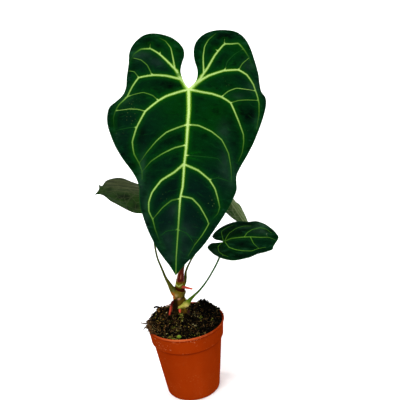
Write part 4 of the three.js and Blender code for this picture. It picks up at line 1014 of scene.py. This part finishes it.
def make_stem(material):
    rods = [rod(STEM_PATH, 40)] + [rod(path, 16, 6) for path in (STEM_STUB, ROOT_BUD, STEM_SCALE)]
    points, faces = fused("stem", rods, voxel=0.4, smoothing=3)
    push = grain(points, 2.4, 3.1)[:, None] * 0.22
    out = points[:, :2] - columns_at(STEM_PATH, points[:, 2], 0, 1)
    points[:, :2] += out / np.maximum(np.linalg.norm(out, axis=1), 0.1)[:, None] * push
    x, y, z = points.T
    colours = ramp(
        z + 1.2 * grain(points, 5.0) + 0.28 * (x + 2) * (z > 138),
        (98, (34, 26, 12)), (108, (40, 30, 12)), (114, (26, 18, 7)), (122, (32, 20, 6)),
        (127, (30, 18, 5)), (131, (52, 36, 10)), (134, (108, 96, 26)), (139.5, (84, 60, 14)),
        (141, (58, 22, 4)), (145, (52, 15, 2)), (146.4, (80, 56, 10)), (147.6, (88, 92, 18)),
        (150.5, (90, 96, 18)), (153, (92, 80, 14)), (155, (104, 70, 16)),
    )
    chevron = np.abs(z - 149.4 - 0.45 * np.abs(x + 3.4)) + 0.6 * grain(points, 2.2, 8.0)
    olive = smoothstep(x + 0.7 * grain(points, 3.0, 9.0), -9.5, -4.5) * smoothstep(-z, -131, -127)
    moss = smoothstep(grain(points, 3.0, 5.0), 0.1, 0.6) * (z < 112)
    bud = spot(x, z, -5.6, 130.9, 2.2, 2.0) * (y < 9)
    scale = smoothstep(x, 0.5, 2.5) * (z > 121.5) * (z < 129) * (y < 12.5)
    stub = smoothstep(x, 1.2, 4.5) * (z < 111) * (y < 14.5)
    colours = painted(
        colours,
        ((172, 178, 92), smoothstep(-chevron, -1.5, -0.4) * (x < 2) * 0.8),
        ((112, 84, 22), olive * 0.8), ((96, 84, 44), moss * 0.4), ((206, 150, 112), bud * 1.1),
        ((62, 66, 26), scale), ((78, 44, 44), stub),
    )
    tinted("stem_flesh", (points, faces), colours, material, "stem", "stem")


def make_cataphyll(material):
    points, faces = fused("cataphyll", [rod(CATAPHYLL_PATH, 36)], voxel=0.35, smoothing=3)
    x, _, z = points.T
    axis, reach = columns_at(CATAPHYLL_PATH, z, 0, 3).T
    across = (x - axis) / np.maximum(reach, 0.4)
    colours = ramp(
        z + 0.8 * grain(points, 3.0),
        (155, (90, 62, 12)), (156, (86, 32, 4)), (157.4, (68, 6, 1)), (164, (74, 10, 3)),
        (170, (80, 22, 10)), (174, (52, 12, 2)), (180, (38, 10, 1)),
    )
    streak = smoothstep(grain(points * (1, 1, 0.3), 1.3, 2.0), 0.0, 0.6) * 0.28
    keel = np.exp(-((across / 0.13) ** 2)) * smoothstep(z, 159, 161) * smoothstep(-z, -168, -164)
    # The tan band along the scale's left edge is a painted highlight
    colours = painted(
        colours, ((112, 36, 14), streak), ((140, 96, 58), smoothstep(-across, 0.66, 0.96) * 0.6),
        ((176, 116, 84), keel * 0.6),
    )
    tinted("cataphyll_scale", (points, faces), colours, material, "cataphyll", "cataphyll")


def left_sheath(points):
    """Colours of the left stalk's sheath, and how much they cover the stalk's own."""
    x, _, z = points.T
    return painted(
        (60, 64, 8), ((104, 88, 14), smoothstep(-z, -146, -141)),
        ((138, 118, 36), smoothstep(grain(points, 2.6), 0.0, 0.7)),
        ((162, 136, 84), spot(x, z, -8.6, 137, 2.6, 2.6)),
        ((156, 84, 12), smoothstep(-x, 9.2, 11.6) * smoothstep(-z, -145, -139)),
        ((86, 92, 50), spot(x, z, -11.4, 144.5, 1.8, 2.6) * 0.7),
        ((62, 58, 14), smoothstep(x, -4, 2) * 0.7),
    ), smoothstep(-z, -158, -146)


def right_sheath(points):
    """Colours of the right stalk's sheath, and how much they cover the stalk's own."""
    x, _, z = points.T
    return painted(
        (176, 172, 70), ((124, 130, 36), smoothstep(grain(points, 2.8), 0.0, 0.7)),
        ((238, 218, 124), spot(x, z, 4.2, 121, 3, 3)),
        ((84, 120, 22), smoothstep(x + 0.5 * (z - 120), 7, 13)),
        ((60, 52, 18), smoothstep(-x + 0.6 * grain(points, 2.0), 6.5, 9.0) * 0.7),
    ), smoothstep(-z, -131, -122)


# Stalks: side, path, what is added to its radius, sides, voxel, heights between which the
# colour changes, colours below and above, size of the mottling, sheath
STALKS = (
    ("large", LARGE_PETIOLE_PATH[:-2], 0, 24, 0.5, (150, 250), (36, 52, 12), (60, 84, 24), 6, None),
    ("rear", REAR_PETIOLE_PATH, 0, 16, 0.32, (150, 200), (74, 78, 14), (56, 72, 20), 5, None),
    ("left", LEFT_PETIOLE_PATH[1:], 0.15, 16, 0.34, (150, 176), (74, 72, 14), (50, 60, 6), 5,
        left_sheath),
    ("right", RIGHT_PETIOLE_PATH[1:], 0.2, 16, 0.32, (130, 150), (78, 112, 18), (34, 80, 12), 5,
        right_sheath),
)


def make_stalks(material):
    for side, path, extra, sides, voxel, change, below, above, mottle, sheath in STALKS:
        node = side + "_leaf_stalk"
        path = [(*place[:3], place[3] + extra) for place in path]
        points, faces = fused(node, [rod(path, sides)], voxel, smoothing=2)
        colours = painted(below, (above, smoothstep(points[:, 2], *change)))
        shade = smoothstep(grain(points, mottle), 0.0, 0.7) * 0.6
        colours = painted(colours, (colours * 0.55, shade))
        if sheath:
            colours = painted(colours, sheath(points))
        tinted(side + "_stalk", (points, faces), colours, material, "stalk", node)


CORAL = (212, 76, 54)
ROOT_TIP = (226, 140, 62)
# Aerial roots: side, path, colour of the base, share of the length where the tip's starts
ROOTS = (
    ("right", ROOT_RIGHT_PATH, (172, 60, 44), 0.75),
    ("left", ROOT_LEFT_PATH, (72, 12, 10), None),
    ("front", ROOT_FRONT_PATH, CORAL, 0.5),
)


def make_roots(material):
    for side, path, base, tip_start in ROOTS:
        node = "aerial_root_" + side
        skin = fused(node, [rod(path, 20)], voxel=0.22, smoothing=3)
        where = nearest_on_line(skin[0], np.array(path, float)[:, :3])[1]
        colours = painted(base, (CORAL, smoothstep(where, 0.25, 0.5)))
        if tip_start:
            colours = painted(colours, (ROOT_TIP, smoothstep(where, tip_start, 0.98)))
        tinted("root_" + side, skin, colours, material, "root", node)


def make_seedling(material):
    skin = fused("seedling", [], voxel=0.22, smoothing=4)
    z = skin[0][:, 2]
    top = z.max()
    colours = ramp(z, (top - 8, (96, 100, 30)), (top - 2.4, (66, 88, 6)), (top, (104, 128, 24)))
    tinted("seedling_leaf", skin, colours, material, "seedling", "seedling")


def body_radius(z):
    """Outer radius of the pot below its collar."""
    return BASE_RADIUS + (BODY_TOP_RADIUS - BASE_RADIUS) * z / COLLAR_BOTTOM


def rounded(line, most):
    """A line whose inner corners are cut back into short arcs."""
    points = [np.array(p, float) for p in line]
    out = [points[0]]
    for before, corner, after in zip(points, points[1:], points[2:]):
        reach_back, reach_on = np.linalg.norm(before - corner), np.linalg.norm(after - corner)
        cut = min(most, min(reach_back, reach_on) * 0.4)
        start = corner + (before - corner) / reach_back * cut
        end = corner + (after - corner) / reach_on * cut
        for t in (0, 0.25, 0.5, 0.75, 1):
            out.append((1 - t) ** 2 * start + 2 * t * (1 - t) * corner + t * t * end)
    return out + [points[-1]]


def turned(section, segments):
    """Vertices and faces of a closed section on the axis, turned round Z."""
    vertices = [(0, 0, section[0][1])]
    for r, z in section[1:-1]:
        vertices += [(*polar(r, TURN * k / segments), z) for k in range(segments)]
    vertices.append((0, 0, section[-1][1]))
    faces = []
    rings = len(section) - 2
    last = 1 + (rings - 1) * segments
    for k in range(segments):
        after = (k + 1) % segments
        faces.append((0, 1 + after, 1 + k))
        for i in range(rings - 1):
            a, b = 1 + i * segments + k, 1 + i * segments + after
            faces.append((a, b, b + segments, a + segments))
        faces.append((last + k, last + after, len(vertices) - 1))
    return np.array(vertices), faces


def pot_look():
    """Matt plastic, painted by its height and place in metres, with painted light and shade."""
    look = Look("pot_plastic", 0.0)
    place = look.place()
    height, x = (look.node("SeparateXYZ", {0: place}, axis) for axis in "ZX")
    broad = look.noise(place, 18.0, 3.0)
    fine = look.noise(place, 260.0, 4.0)
    collar = height.span(0.0785, 0.08)
    # Painted highlight along the lip's top, strongest a little left of the middle
    lit = abs(x + 0.012).span(0.008, 0.045, 0.5, 0.06)
    # Painted shade in the band just under the lip
    under_lip_shade = height.span(0.0968, 0.099) * height.span(0.0992, 0.0997, 1, 0)
    dust = look.noise(place, 64.0, 5.0, 0.7).span(0.56, 0.72)
    dots = look.noise(place, 430.0, 3.0, 0.7).span(0.6, 0.68)
    dots = dots * look.noise(place, 42.0, 2.0).span(0.5, 0.6)
    grime = look.cells(place, 120.0).span(0.05, 0.12, 1, 0)
    # Painted shade in the crease where the collar meets the body
    crease_shade = height.span(0.0744, 0.0786, 0, 1, True) * height.span(0.0788, 0.0796, 1, 0)
    look.coat = look.mix(broad.span(0.3, 0.7), (144, 44, 3), (154, 51, 6))
    look.paint(
        ((226, 110, 60), height.span(0.0994, 0.1004) * lit),
        # Painted shade: darker towards both flanks
        ((118, 34, 2), abs(x).span(0.012, 0.046, 0, 0.75)),
        ((104, 24, 4), under_lip_shade * 0.75),
        ((188, 104, 62), dust * collar.span(0, 1, 0.06, 0.42)),
        ((214, 148, 106), dots * collar.span(0, 1, 0.15, 0.8)),
        ((84, 44, 22), grime * look.noise(place, 30.0, 2.0).span(0.6, 0.68, 0, 0.6)),
        ((96, 20, 3), crease_shade * 0.85),
    )
    return look.finish(fine.span(0.3, 0.7, 0.42, 0.56), fine * 0.5 + broad * 0.5, 0.18, 0.0008)


def make_pot():
    """The pot's shell, turned from its section and drilled."""
    foot = BASE_RADIUS - FOOT_WIDTH
    lip_bottom = POT_HEIGHT - LIP_HEIGHT
    inner = RIM_RADIUS - LIP_WIDTH
    section = rounded([
        (0, 0), (BASE_DISC_RADIUS, 0), (BASE_DISC_RADIUS + 1, BASE_RECESS),
        (foot - 1, BASE_RECESS), (foot, 0), (BASE_RADIUS - 0.8, 0), (body_radius(1), 1),
        (BODY_TOP_RADIUS, COLLAR_BOTTOM - 0.6), (COLLAR_BOTTOM_RADIUS - 0.5, COLLAR_BOTTOM - 0.2),
        (COLLAR_BOTTOM_RADIUS, COLLAR_BOTTOM + 0.4), (RIM_RADIUS - LIP_OVERHANG, lip_bottom),
        (RIM_RADIUS - 0.4, lip_bottom + 0.5), (RIM_RADIUS, lip_bottom + 1.6),
        (RIM_RADIUS - 0.5, POT_HEIGHT - 0.5), (RIM_RADIUS - 1.5, POT_HEIGHT),
        (inner + 0.5, POT_HEIGHT - 0.4), (inner, POT_HEIGHT - 1.6),
        (COLLAR_BOTTOM_RADIUS - WALL, COLLAR_BOTTOM + 1.6),
        (BODY_TOP_RADIUS - WALL, COLLAR_BOTTOM - 0.2), (body_radius(FLOOR) - WALL, FLOOR),
        (0, FLOOR),
    ], EDGE_ROUNDING)
    pot = make_piece("pot_shell", *turned(section, POT_SEGMENTS), [pot_look()], "pot", ("pot",))
    drill = [(0, DRILL_FROM), (DRAIN_RADIUS, DRILL_FROM), (DRAIN_RADIUS, DRILL_TO), (0, DRILL_TO)]
    ring, ring_faces = turned(drill, DRILL_SIDES)
    vertices, faces = joined([
        (ring + (*polar(DRAIN_CIRCLE, TURN * (i + 0.5) / DRAIN_COUNT), 0), ring_faces)
        for i in range(DRAIN_COUNT)
    ])
    drills = new_object("drills", new_mesh("drills", vertices * MM, faces))
    cut = pot.modifiers.new("drain_holes", "BOOLEAN")
    cut.operation = "DIFFERENCE"
    cut.object = drills
    evaluated = pot.evaluated_get(bpy.context.evaluated_depsgraph_get())
    whole, pot.data = pot.data, bpy.data.meshes.new_from_object(evaluated)
    pot.modifiers.clear()
    bpy.data.meshes.remove(whole)
    discard(drills)
    pot.data.set_sharp_from_angle(angle=math.radians(40))


def mix_height(x, y):
    """Height of the potting mix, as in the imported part."""
    radius = np.hypot(x, y)
    bank = np.exp(-((radius - BANK_RADIUS) / BANK_SPREAD) ** 2 / 2)
    z = MIX_LEVEL + BANK_HEIGHT * bank * smoothstep(y - BANK_SHARE * x, BANK_FROM, BANK_TO)
    for mound_x, mound_y, width, height in MIX_MOUNDS:
        z = z + height * np.exp(-((x - mound_x) ** 2 + (y - mound_y) ** 2) / (2 * width * width))
    lumps = (
        0.7 * np.sin(0.42 * x + 1.1) * np.cos(0.37 * y - 0.6)
        + 0.55 * np.sin(0.71 * x - 0.53 * y + 2) + 0.35 * np.cos(0.95 * y + 0.6 * x)
    )
    return z + lumps * np.minimum(1, (RIM_RADIUS - 5 - radius) / 6 + 0.5)


def gloom(x, y):
    """How far a place on the mix lies in the shade, at its right and front."""
    return smoothstep(x - 0.4 * y, -16, 22)


def shaded(x, y):
    """What is left of the mix's red, green and blue there."""
    return 1 - gloom(x, y)[..., None] * (0.6, 0.5, 0.5)


def peat_look():
    look = Look("peat", 0.02)
    place = look.place()
    fine = look.noise(place, 900.0, 4.0, 0.65)
    coarse = look.noise(place, 260.0, 3.0)
    look.take_tint(fine.span(0.3, 0.72, 0.45, 1.5))
    return look.finish(coarse.span(0.3, 0.7, 0.7, 0.95), fine + coarse, 0.7, 0.0012)


def make_mix_body(material):
    """The root ball: closed below, with a crumbly top raised by noise."""
    shift = WALL + GAP + 0.1
    inner = RIM_RADIUS - LIP_WIDTH - GAP - 0.2
    section = [
        (0, FLOOR + GAP), (body_radius(FLOOR) - shift, FLOOR + GAP),
        (BODY_TOP_RADIUS - shift, COLLAR_BOTTOM - 0.4),
        (COLLAR_BOTTOM_RADIUS - shift, COLLAR_BOTTOM + 1.8), (inner - 0.5, MIX_LEVEL - 1.6),
    ]
    top = [((inner - 0.8) * (1 - i / MIX_RINGS), MIX_LEVEL) for i in range(MIX_RINGS + 1)]
    vertices, faces = turned(section + top, MIX_SEGMENTS)
    first = 1 + (len(section) - 1) * MIX_SEGMENTS
    x, y, _ = vertices[first:].T
    flat = np.stack([x, y, np.zeros_like(x)], 1)
    crumb = 0.75 * grain(flat, 2.6) + 0.5 * grain(flat, 1.1, 7.0) + 0.9 * grain(flat, 6.0, 3.0)
    edge = smoothstep(-np.hypot(x, y), -inner, -inner + 4)
    vertices[first:, 2] = mix_height(x, y) - 0.5 + crumb * (0.35 + 0.65 * edge)
    tone = smoothstep(grain(flat, 3.4, 11.0), -0.5, 0.5)
    colours = np.tile(linear((12, 9, 6)), (len(vertices), 1))
    colours[first:] = shaded(x, y) * ramp(
        smoothstep(crumb, -0.9, 0.7) * 0.7 + 0.3 * tone,
        (0, (3, 2, 1)), (0.45, (12, 9, 5)), (0.8, (30, 22, 11)), (1, (48, 35, 18)),
    )
    tinted("mix_body", (vertices, faces), colours, material, "mix", "potting_mix")


# Where loose bits lie and fibres start, how far fibres reach before the wall, the ring of
# crumbs on the lip, the arc of its fuzz in degrees, and the feet of the stem and the
# seedling, that are left clear
SURFACE_RADIUS = 48.6
FIBRE_START_RADIUS = 45
WALL_REACH = 48.5
LIP_RING = 49.2, 52.6
FUZZ_ARC = 172, 214
FEET = ((-6.5, 16), 8.5), (SEEDLING_BASE, 2)
CRUMB_SEED, FIBRE_SEED = 21, 8
CRUMB_COUNT = 4400
LIP_CRUMB_COUNT = 700
SPECK_COUNT = 520
FIBRE_COUNT = 620
FUZZ_COUNT = 170
# A crumb with no colour value above this takes the light and shade of the mix
DARK = 80
PEAT = ((10, 7, 4), (20, 14, 7), (4, 3, 2), (40, 28, 13), (78, 55, 27), (14, 12, 5), (6, 5, 2))
MOSS = ((104, 112, 30), (134, 140, 44), (84, 96, 22), (150, 146, 70))
STRAW = ((140, 120, 70), (168, 150, 96), (120, 98, 50), (104, 84, 44), (184, 174, 120))
TAN = ((132, 110, 46), (150, 122, 58), (104, 88, 34), (118, 112, 36))
CREAM = ((158, 148, 100), (176, 164, 116), (128, 116, 66))
FIBRES = ((86, 58, 30), (56, 38, 20), (116, 90, 52), (36, 26, 14))
FUZZ = ((86, 60, 34), (112, 82, 50), (60, 42, 24), (96, 74, 42))
# Clumps of moss and pale bits: x, y, reach, count, colours
CLUMPS = (
    (-6, 4, 3.2, 56, MOSS), (-16, -43, 2.6, 46, MOSS), (-21, -39, 2.4, 44, TAN),
    (13, 12, 3.4, 30, CREAM), (10, -16, 2.8, 22, CREAM), (-38, 8, 4, 26, TAN),
    (-20, 0, 1.6, 14, MOSS), (20, 5, 1.8, 22, MOSS), (37, -3, 1.2, 14, MOSS),
    (18, -42, 3, 22, MOSS), (-40, -14, 3, 22, STRAW), (-16, -14, 1.4, 12, MOSS),
    (8, -40, 2, 20, MOSS), (23, -38, 2.4, 14, STRAW), (-8, -14, 9, 40, TAN),
)
# Heaps of coarse dark bits: x, y, reach, height, count
HEAPS = ((26, 38, 3.0, 2.0, 50), (-36, 28, 2.6, 2.4, 50))
# Bits that stand up from the mix at the rim: colour, then x, y, z, radius along each
RIM_BITS = (
    ((10, 8, 6), *MIX_CURL),
    ((12, 9, 6), (-32, 29, 102, 2.2), (-34.2, 28.6, 107, 2.6), (-36.8, 28.2, 110.6, 1.7),
        (-40, 28, 112.4, 1.1), (-43.6, 28, 111.2, 0.6)),
    ((128, 104, 92), (-43.4, 28, 108.4, 0.35), (-44.4, 27.6, 105.6, 0.4),
        (-42.6, 27, 103, 0.35), (-40, 27, 102.4, 0.3)),
    ((196, 168, 158), (-28.4, 35.4, 105.2, 0.5), (-25.2, 35.4, 107.4, 1.2),
        (-22, 34.6, 108.8, 1.2), (-19.6, 33.6, 108.6, 0.4)),
    ((74, 66, 34), (-30, 34, 103.8, 0.8), (-26, 34, 105.8, 1.2), (-21, 33.6, 106.8, 1)),
)
# Short hairs of the mix that reach over the lip: x, y, sideways bend
RIM_HAIRS = (
    (-47, -14, 1.5), (-46, -17, -1.2), (-48, -9, 1), (-45, -20, 1.5), (-49, 6, -1),
    (47, 12, 1), (48.5, 3, -1.5),
)
CUBE = np.array([(x, y, z) for x in (-1, 1) for y in (-1, 1) for z in (-1, 1)], float)
CUBE_FACES = ((0, 1, 3, 2), (4, 6, 7, 5), (0, 4, 5, 1), (2, 3, 7, 6), (0, 2, 6, 4), (1, 5, 7, 3))


def surface_place(rng, most=SURFACE_RADIUS):
    """A random place on the mix, clear of the stem and the seedling."""
    while True:
        x, y = polar(most * math.sqrt(rng.random()), TURN * rng.random())
        if all(math.dist((x, y), foot) > reach for foot, reach in FEET):
            return x, y


def make_crumbs(material):
    """Loose bits of peat and bark over the mix, in one piece."""
    rng = random.Random(CRUMB_SEED)
    parts, colours = [], []

    def add(x, y, size, colour, flat, lift, height=None):
        """One crumb, on the mix or at its own height."""
        corners = CUBE * (1, rng.uniform(0.45, 0.9), flat) * size / 2
        corners *= np.array([[rng.uniform(0.55, 1.0) for _ in range(3)] for _ in range(8)])
        turn = Quaternion([rng.gauss(0, 1) for _ in range(4)]).normalized().to_matrix()
        z = height or float(mix_height(x, y)) - 0.4 + lift * size
        parts.append((corners @ np.array(turn).T + (x, y, z), CUBE_FACES))
        if max(colour) < DARK:
            light = 1 + 0.5 * smoothstep(-x, 20, 38)
            light -= 0.5 * smoothstep(x, 12, 24) * (1 - smoothstep(x, 33, 41))
            light *= 0.3 + 1.05 * smoothstep(noise.noise((x / 6.5, y / 6.5, 4.7)), -0.25, 0.3)
            colour = light * shaded(x, y) * colour
        colours.append(np.tile(linear(colour) * rng.uniform(0.6, 1.35), (8, 1)))

    for _ in range(CRUMB_COUNT):
        place = surface_place(rng)
        size = 0.8 + 3.2 * rng.random() ** 2.8
        add(*place, size, rng.choice(PEAT), rng.uniform(0.3, 0.8), rng.uniform(0.0, 0.35))
    for _ in range(LIP_CRUMB_COUNT):
        angle, reach = TURN * rng.random(), rng.uniform(*LIP_RING)
        x, y = polar(reach, angle)
        cover = smoothstep(y - BANK_SHARE * x, BANK_FROM, BANK_TO) * (0.4 if x > 16 else 1)
        if rng.random() > cover or (4 < x < 16 and y > 0):
            continue
        size = rng.uniform(0.8, 2.1)
        colour = rng.choice(PEAT[2:])
        add(x, y, size, colour, 0.7, 0, POT_HEIGHT + 0.3 + size * rng.uniform(0.3, 0.7))
    for _ in range(SPECK_COUNT):
        x, y = surface_place(rng)
        kinds = MOSS if rng.random() < 0.35 else STRAW
        if rng.random() > gloom(x, y) * 0.6:
            size, colour = rng.uniform(0.7, 1.8), rng.choice(kinds)
            add(x, y, size, colour, rng.uniform(0.25, 0.6), rng.uniform(0.2, 0.55))
    for clump_x, clump_y, reach, count, kinds in CLUMPS:
        for _ in range(count):
            x, y = rng.gauss(clump_x, reach), rng.gauss(clump_y, reach)
            if math.hypot(x, y) <= SURFACE_RADIUS:
                add(x, y, rng.uniform(0.7, 1.8), rng.choice(kinds), 0.5, rng.uniform(0.3, 0.9))
    for heap_x, heap_y, reach, height, count in HEAPS:
        for _ in range(count):
            x, y = rng.gauss(heap_x, reach), rng.gauss(heap_y, reach)
            size = rng.uniform(1.2, 3.2)
            if math.hypot(x, y) < SURFACE_RADIUS:
                add(x, y, size, rng.choice(PEAT), 0.7, rng.uniform(0.0, height / 3))
    tinted("mix_crumbs", joined(parts), np.vstack(colours), material, "mix", smooth=False)


def make_fibres(material):
    """Thin roots and peat fibres that lie over the mix, in one piece."""
    rng = random.Random(FIBRE_SEED)
    parts, colours = [], []

    def add(points, colour):
        parts.append(rod(points, 4, 3))
        count = len(parts[-1][0])
        colours.append(np.tile(linear(colour) * rng.uniform(0.7, 1.2), (count, 1)))

    def moved(x, y, heading, length):
        step_x, step_y = polar(length, heading)
        return x + step_x, y + step_y

    for _ in range(FIBRE_COUNT):
        x, y = surface_place(rng, FIBRE_START_RADIUS)
        heading, length = TURN * rng.random(), rng.uniform(3, 11)
        points = []
        for i in range(4):
            arch = rng.uniform(0.1, 1.1) * math.sin(math.pi * i / 3)
            points.append((x, y, float(mix_height(x, y)) - 0.3 + arch))
            heading += rng.uniform(-0.7, 0.7)
            x, y = moved(x, y, heading, length / 3)
            reach = math.hypot(x, y)
            if reach > WALL_REACH:
                x, y = (c * (WALL_REACH - 0.5) / reach for c in (x, y))
        radius = rng.uniform(0.12, 0.3)
        add([(*p, radius) for p in points], rng.choice(FIBRES))
    for fibre in RIM_FIBRES:
        add([(*p[:3], p[3] * 1.5) for p in fibre], (74, 54, 34))
    for colour, *path in RIM_BITS:
        add(path, colour)
    # Fuzz over the lip's left side
    for _ in range(FUZZ_COUNT):
        angle = math.radians(rng.uniform(*FUZZ_ARC))
        reach, length = rng.uniform(46.5, 51.5), rng.uniform(2, 7)
        x, y = polar(reach, angle)
        inside_rim = reach < WALL_REACH
        height = MIX_LEVEL + 0.6 if inside_rim else POT_HEIGHT + 0.5
        heading = angle + rng.uniform(-1.7, 1.7)
        points = []
        for i in range(4):
            lift = rng.uniform(0.2, 1.6) * math.sin(math.pi * i / 3)
            ground = float(mix_height(x, y)) if inside_rim else 0
            points.append((x, y, max(height, ground) + lift, 0.22))
            x, y = moved(x, y, heading, length / 3)
            heading += rng.uniform(-0.8, 0.8)
            height = POT_HEIGHT + 0.5 if math.hypot(x, y) > WALL_REACH else height
        add(points, rng.choice(FUZZ))
    for x, y, bend in RIM_HAIRS:
        hair = []
        for t in (0, 1 / 3, 2 / 3, 1):
            z = POT_HEIGHT + 1.6 * math.sin(math.pi * t * 0.8) + 0.3 * (1 - t)
            hair.append((x * (1 + 0.1 * t), y * (1 + 0.1 * t) + bend * t, z, 0.25))
        add(hair, (54, 38, 24))
    tinted("mix_fibres", joined(parts), np.vstack(colours), material, "mix")


# The stage, lights and camera, in metres
FLOOR_FRONT, FLOOR_BACK, BACKDROP_TOP = -2.2, 1.6, 3.6
BACKDROP_BEND, BEND_STEPS = 0.6, 12
FLOOR_HALF_WIDTH = 3.5
# Name, place, target, size of each side, watts
LIGHTS = (
    ("key", (-0.55, -0.9, 1.7), (0.0, 0.0, 0.25), 0.8, 21),
    ("fill", (1.2, -0.6, 0.9), (0.0, 0.0, 0.25), 1.0, 3),
    ("backdrop_left", (-1.4, 0.9, 1.5), (0.2, 2.1, 0.9), 0.8, 34),
    ("backdrop_right", (1.4, 0.9, 1.5), (-0.2, 2.1, 0.9), 0.8, 34),
)
WORLD_STRENGTH = 0.5
CAMERA_PLACE = (0.03784, -0.68819, 0.47576)
CAMERA_PITCH = math.radians(16.8)
CAMERA_ROLL = math.radians(6.5)
FOCAL_PIXELS = 566
SENSOR_WIDTH = 36
IMAGE_PIXELS = 400


def make_stage():
    """Pale floor that sweeps up into a backdrop."""
    look = Look("studio_paper", 0.1)
    paper = look.noise(look.place(), 30.0, 2.0).span(0.3, 0.7)
    look.coat = look.mix(paper, (250, 250, 250), (253, 253, 253))
    bend = [polar(BACKDROP_BEND, TURN / 4 * i / BEND_STEPS) for i in range(BEND_STEPS + 1)]
    profile = [(FLOOR_FRONT, 0.0)]
    profile += [(FLOOR_BACK + back, BACKDROP_BEND - ahead) for ahead, back in bend]
    profile.append((FLOOR_BACK + BACKDROP_BEND, BACKDROP_TOP))
    vertices = [(side * FLOOR_HALF_WIDTH, y, z) for y, z in profile for side in (-1, 1)]
    faces = [(2 * i, 2 * i + 1, 2 * i + 3, 2 * i + 2) for i in range(len(profile) - 1)]
    floor = new_object("studio_floor", new_mesh("studio_floor", vertices, faces))
    floor.data.polygons.foreach_set("use_smooth", [True] * len(faces))
    floor.data.materials.append(look.finish(0.9))


def make_light(name, place, target, size, power):
    lamp = bpy.data.lights.new(name, "AREA")
    lamp.shape = "RECTANGLE"
    lamp.size = lamp.size_y = size
    lamp.energy = power
    light = new_object(name, lamp)
    light.location = place
    light.rotation_euler = (Vector(place) - Vector(target)).to_track_quat("Z", "Y").to_euler()


def make_camera():
    data = bpy.data.cameras.new("view")
    data.sensor_width = SENSOR_WIDTH
    data.lens = SENSOR_WIDTH * FOCAL_PIXELS / IMAGE_PIXELS
    data.clip_start, data.clip_end = 0.02, 20
    camera = new_object("view", data)
    camera.matrix_world = (
        Matrix.Translation(CAMERA_PLACE) @ Matrix.Rotation(math.pi / 2 - CAMERA_PITCH, 4, "X")
        @ Matrix.Rotation(-CAMERA_ROLL, 4, "Z")
    )
    bpy.context.scene.camera = camera


def make_world():
    world = bpy.data.worlds.new("soft_room")
    world.use_nodes = True
    room = world.node_tree.nodes["Background"]
    room.inputs["Color"].default_value = (1, 1, 1, 1)
    room.inputs["Strength"].default_value = WORLD_STRENGTH
    bpy.context.scene.world = world


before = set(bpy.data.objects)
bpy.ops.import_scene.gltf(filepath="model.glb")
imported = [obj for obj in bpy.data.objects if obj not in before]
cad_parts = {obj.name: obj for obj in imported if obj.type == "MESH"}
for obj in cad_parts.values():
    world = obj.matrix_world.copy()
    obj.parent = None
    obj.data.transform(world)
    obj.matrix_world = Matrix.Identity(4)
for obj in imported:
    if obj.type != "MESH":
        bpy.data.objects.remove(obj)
cad_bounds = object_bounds()
bpy.context.scene.view_settings.view_transform = "Standard"
make_camera()
make_world()
for light in LIGHTS:
    make_light(*light)
make_stage()

make_blades()
make_stem(flesh("stem_skin", 0.6, 0.0, 0.3, 0.0012))
make_cataphyll(flesh("cataphyll_skin", 0.42, 0.05, 0.2, 0.0006))
make_stalks(flesh("plant_skin", 0.5, 0.05, 0.22, 0.0008))
make_roots(flesh("root_skin", 0.42, 0.07, 0.14, 0.0005))
make_seedling(flesh("seedling_skin", 0.4, 0.12, 0.15, 0.0004))
make_pot()
peat = peat_look()
make_mix_body(peat)
make_crumbs(peat)
make_fibres(peat)
